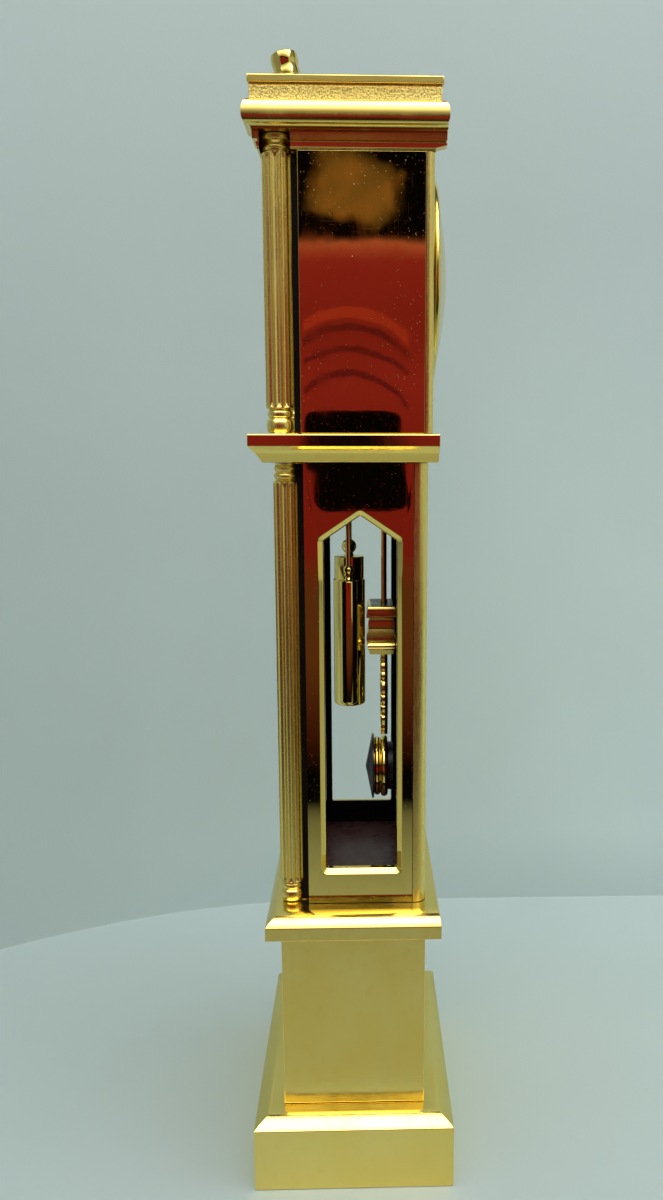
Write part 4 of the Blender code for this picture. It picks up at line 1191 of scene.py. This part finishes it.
def blob(name, x, y_range, slope_range, material, power=0.4, steps=48):
    """Rounded card that covers a range of panel positions and slopes."""
    y_mid, y_half = sum(y_range) / 2, (y_range[1] - y_range[0]) / 2
    s_mid, s_half = sum(slope_range) / 2, (slope_range[1] - slope_range[0]) / 2
    corners = []
    for k in range(steps):
        c, s = math.cos(2 * math.pi * k / steps), math.sin(2 * math.pi * k / steps)
        u = math.copysign(abs(c) ** power, c)
        v = math.copysign(abs(s) ** power, s)
        corners.append(seen_from_eye(x, y_mid + y_half * u, s_mid + s_half * v))
    card(name, corners, material)


def build_cards():
    """Coloured cards that copy what the side panels mirror from the main camera's side.

    They stand in for the floor, a bright ceiling, and the red clothing with its folds, the hand
    and the dark camera of whoever stood there, so this isn't plain studio light. They line up
    in the main view only, and no piece depends on them.
    """
    near, far, reach = 40.0, 1000.0, 720.0
    ground = [(near, (0.44, 0.48, 0.39)), (75, (0.41, 0.45, 0.38)), (117, (0.34, 0.39, 0.355)),
              (147, (0.23, 0.265, 0.245)), (170, (0.15, 0.165, 0.15)), (186, BLACK), (215, BLACK),
              (262, MAROON), (330, DUSK), (420, ORANGE), (640, ORANGE), (840, (0.15, 0.026, 0.020)),
              (far, (0.19, 0.014, 0.020))]
    card("ground_card", ((near, -reach, 0.4), (far, -reach, 0.4), (far, reach, 0.4),
                         (near, reach, 0.4)), banded("ground_paint", "X", ground))
    top = 490.0
    backing = [(0, (0.19, 0.014, 0.020)), (120, (0.21, 0.016, 0.022)), (200, RED),
               (260, (0.21, 0.017, 0.024)), (335, RED), (346, (0.34, 0.055, 0.055)),
               (355, (0.42, 0.10, 0.09)), (360, (0.10, 0.03, 0.02)), (364, BLACK), (top, BLACK)]
    card("backing_card", ((far, -reach, 0), (far, reach, 0), (far, reach, top),
                          (far, -reach, top)), banded("backing_paint", "Z", backing))
    bright = [(top, (0.30, 0.28, 0.22)), (600, (0.8, 0.76, 0.66)), (760, (2.2, 2.15, 2.0)),
              (950, (5.5, 5.4, 5.2)), (1250, (5.5, 5.4, 5.2)), (1500, (3.0, 2.9, 2.7))]
    card("top_card", ((far, -900, top), (far, 900, top), (-20, 900, 1500), (-20, -900, 1500)),
         banded("top_paint", "Z", bright))
    side = banded("side_paint", "Z", [(0, (0.55, 0.60, 0.50)), (520, (0.50, 0.54, 0.46))])
    card("side_card", ((960, 700, 0.5), (-60, 700, 0.5), (-60, 700, 520), (960, 700, 520)), side)
    shade = [(300, (0.10, 0.10, 0.09)), (500, BLACK), (1500, BLACK)]
    card("shade_card", ((-25, -400, 1500), (-25, 400, 1500), (-101, 400, 300), (-101, -400, 300)),
         banded("shade_paint", "Z", shade))
    spot = banded("spot_paint", "Z", [(98, BLACK), (140, BLACK)])
    blob("round_card_low", 172.0, (-5.7, 8.8), (-0.0725, 0.010), spot, power=0.3)
    blob("round_card_high", 172.0, (-7.3, 7.7), (-0.030, 0.0373), spot, power=0.3)
    tan_centre = seen_from_eye(960.0, 0.6, 0.258)
    tan = ragged("tan_paint", tan_centre, (60, 62, 40), BROWN, (0.16, 0.085, 0.034))
    blob("tan_card", 960.0, (-9.0, 11.5), (0.212, 0.31), tan, power=0.3)
    fold = banded("fold_paint", "Z", [(100, (0.10, 0.007, 0.020)), (300, (0.11, 0.012, 0.018))])
    glow = banded("glow_paint", "Z", [(100, (0.34, 0.028, 0.030)), (300, (0.34, 0.034, 0.030))])
    folds = ((0.142, 0.020, 0.012, glow), (0.1245, 0.020, 0.007, fold),
             (0.1025, 0.018, 0.006, fold), (0.0785, 0.024, 0.007, fold))
    for index, (height, drop, width, paint) in enumerate(folds):
        for half in (0, 1):
            points = []
            for edge in (0, 1):
                for k in range(13):
                    t = (k if edge == 0 else 12 - k) / 12
                    y = -7.3 + 8.2 * (t + half)
                    slope = height - drop * ((y + 0.3) / 8) ** 2 - edge * width
                    points.append(seen_from_eye(950.0, y, slope))
            card(f"fold_card_{index}_{half}", points, paint)


def build_light():
    world = bpy.data.worlds.new("studio")
    bpy.context.scene.world = world
    world.use_nodes = True
    background = world.node_tree.nodes["Background"].inputs
    background["Color"].default_value = rgb(0.92, 0.98, 0.97)
    background["Strength"].default_value = 0.285
    lamps = (("top_softbox", (0.28, 0.05, 0.70), (-0.02, 0, 0.06), 0.70, 2.0),
             ("front_fill", (0.25, -0.5, 0.35), (0, 0, 0.09), 0.40, 0.30),
             ("back_fill", (0.15, 0.5, 0.35), (-0.05, 0, 0.09), 0.40, 0.85))
    for name, place, aim, size, power in lamps:
        lamp = bpy.data.lights.new(name, "AREA")
        lamp.size = size
        lamp.energy = power
        lamp.color = (1.0, 0.99, 0.95)
        obj = bpy.data.objects.new(name, lamp)
        obj.location = place
        obj.visible_glossy = False
        obj.rotation_mode = "QUATERNION"
        obj.rotation_quaternion = (Vector(aim) - Vector(place)).to_track_quat("-Z", "Y")
        bpy.context.scene.collection.objects.link(obj)


def build_camera():
    data = bpy.data.cameras.new("camera")
    data.sensor_width = SENSOR
    data.lens = FOCAL_SHARE * SENSOR
    data.shift_x = SHIFT_X
    data.clip_start = 0.005
    camera = bpy.data.objects.new("camera", data)
    bpy.context.scene.collection.objects.link(camera)
    level = math.cos(CAMERA_PITCH)
    look = Vector((-math.cos(CAMERA_YAW) * level, math.sin(CAMERA_YAW) * level,
                   -math.sin(CAMERA_PITCH)))
    camera.location = CAMERA_PLACE
    camera.rotation_mode = "QUATERNION"
    roll = Matrix.Rotation(CAMERA_ROLL, 3, look)
    camera.rotation_quaternion = (roll @ look.to_track_quat("-Z", "Y").to_matrix()).to_quaternion()
    bpy.context.scene.camera = camera


# CAD nodes that show as they are, by their material
CARRIED = {
    "felt": ("base_felt",),
    "steel": ("base_screw_left", "base_screw_right", "pendulum_pin", "coin_battery"),
    "lacquer": ("trunk_floor",),
    "brass": ("seat_board", "centre_wheel", "hour_wheel", "minute_wheel", "third_wheel"),
    "plastic": ("movement_case", "movement_cover", "setting_knob"),
    "copper": ("stepper_coil",),
    "board": ("circuit_board",),
}


def main():
    bpy.context.scene.view_settings.view_transform = "Standard"
    mat = {
        "mirror": gold("mirror_gold", 0.022, 0.04, specks=0.9, pale=0.2, wave=0.012,
                       scratch=0.25),
        "polished": gold("polished_gold", 0.08, 0.07, specks=0.35, pale=0.3),
        "soft": gold("soft_gold", 0.15, 0.08, specks=0.2, pale=0.5),
        "satin": gold("satin_gold", 0.12, 0.07, brush=(0.25, 2.5, 0.25), pale=0.8),
        "satin_fine": gold("satin_gold_fine", 0.24, 0.08, brush=(0.2, 0.2, 2.5), pale=1.0),
        "column": gold("column_gold", 0.25, 0.08, pale=0.6),
        "cast": gold("cast_gold", 0.30, 0.10, grain=0.05, pale=0.9),
        "enamel": enamel(), "black": black_lacquer(), "crystal": crystal(), "steel": steel(),
        "plastic": plastic(), "brass": machined_brass(), "copper": copper_coil(),
        "board": circuit(), "felt": felt(), "lacquer": lacquer(), "lining": lining(),
    }
    build_camera()
    build_light()
    build_stage()
    build_cards()
    for build in (build_pedestal, build_columns, build_trunk, build_weights, build_pendulum,
                  build_shelf, build_hood, build_cornice, build_crown, build_dial,
                  build_back_cover):
        build(mat)
    for key, nodes in CARRIED.items():
        for node in nodes:
            for slot in NODES[node].material_slots:
                slot.material = mat[key]


main()
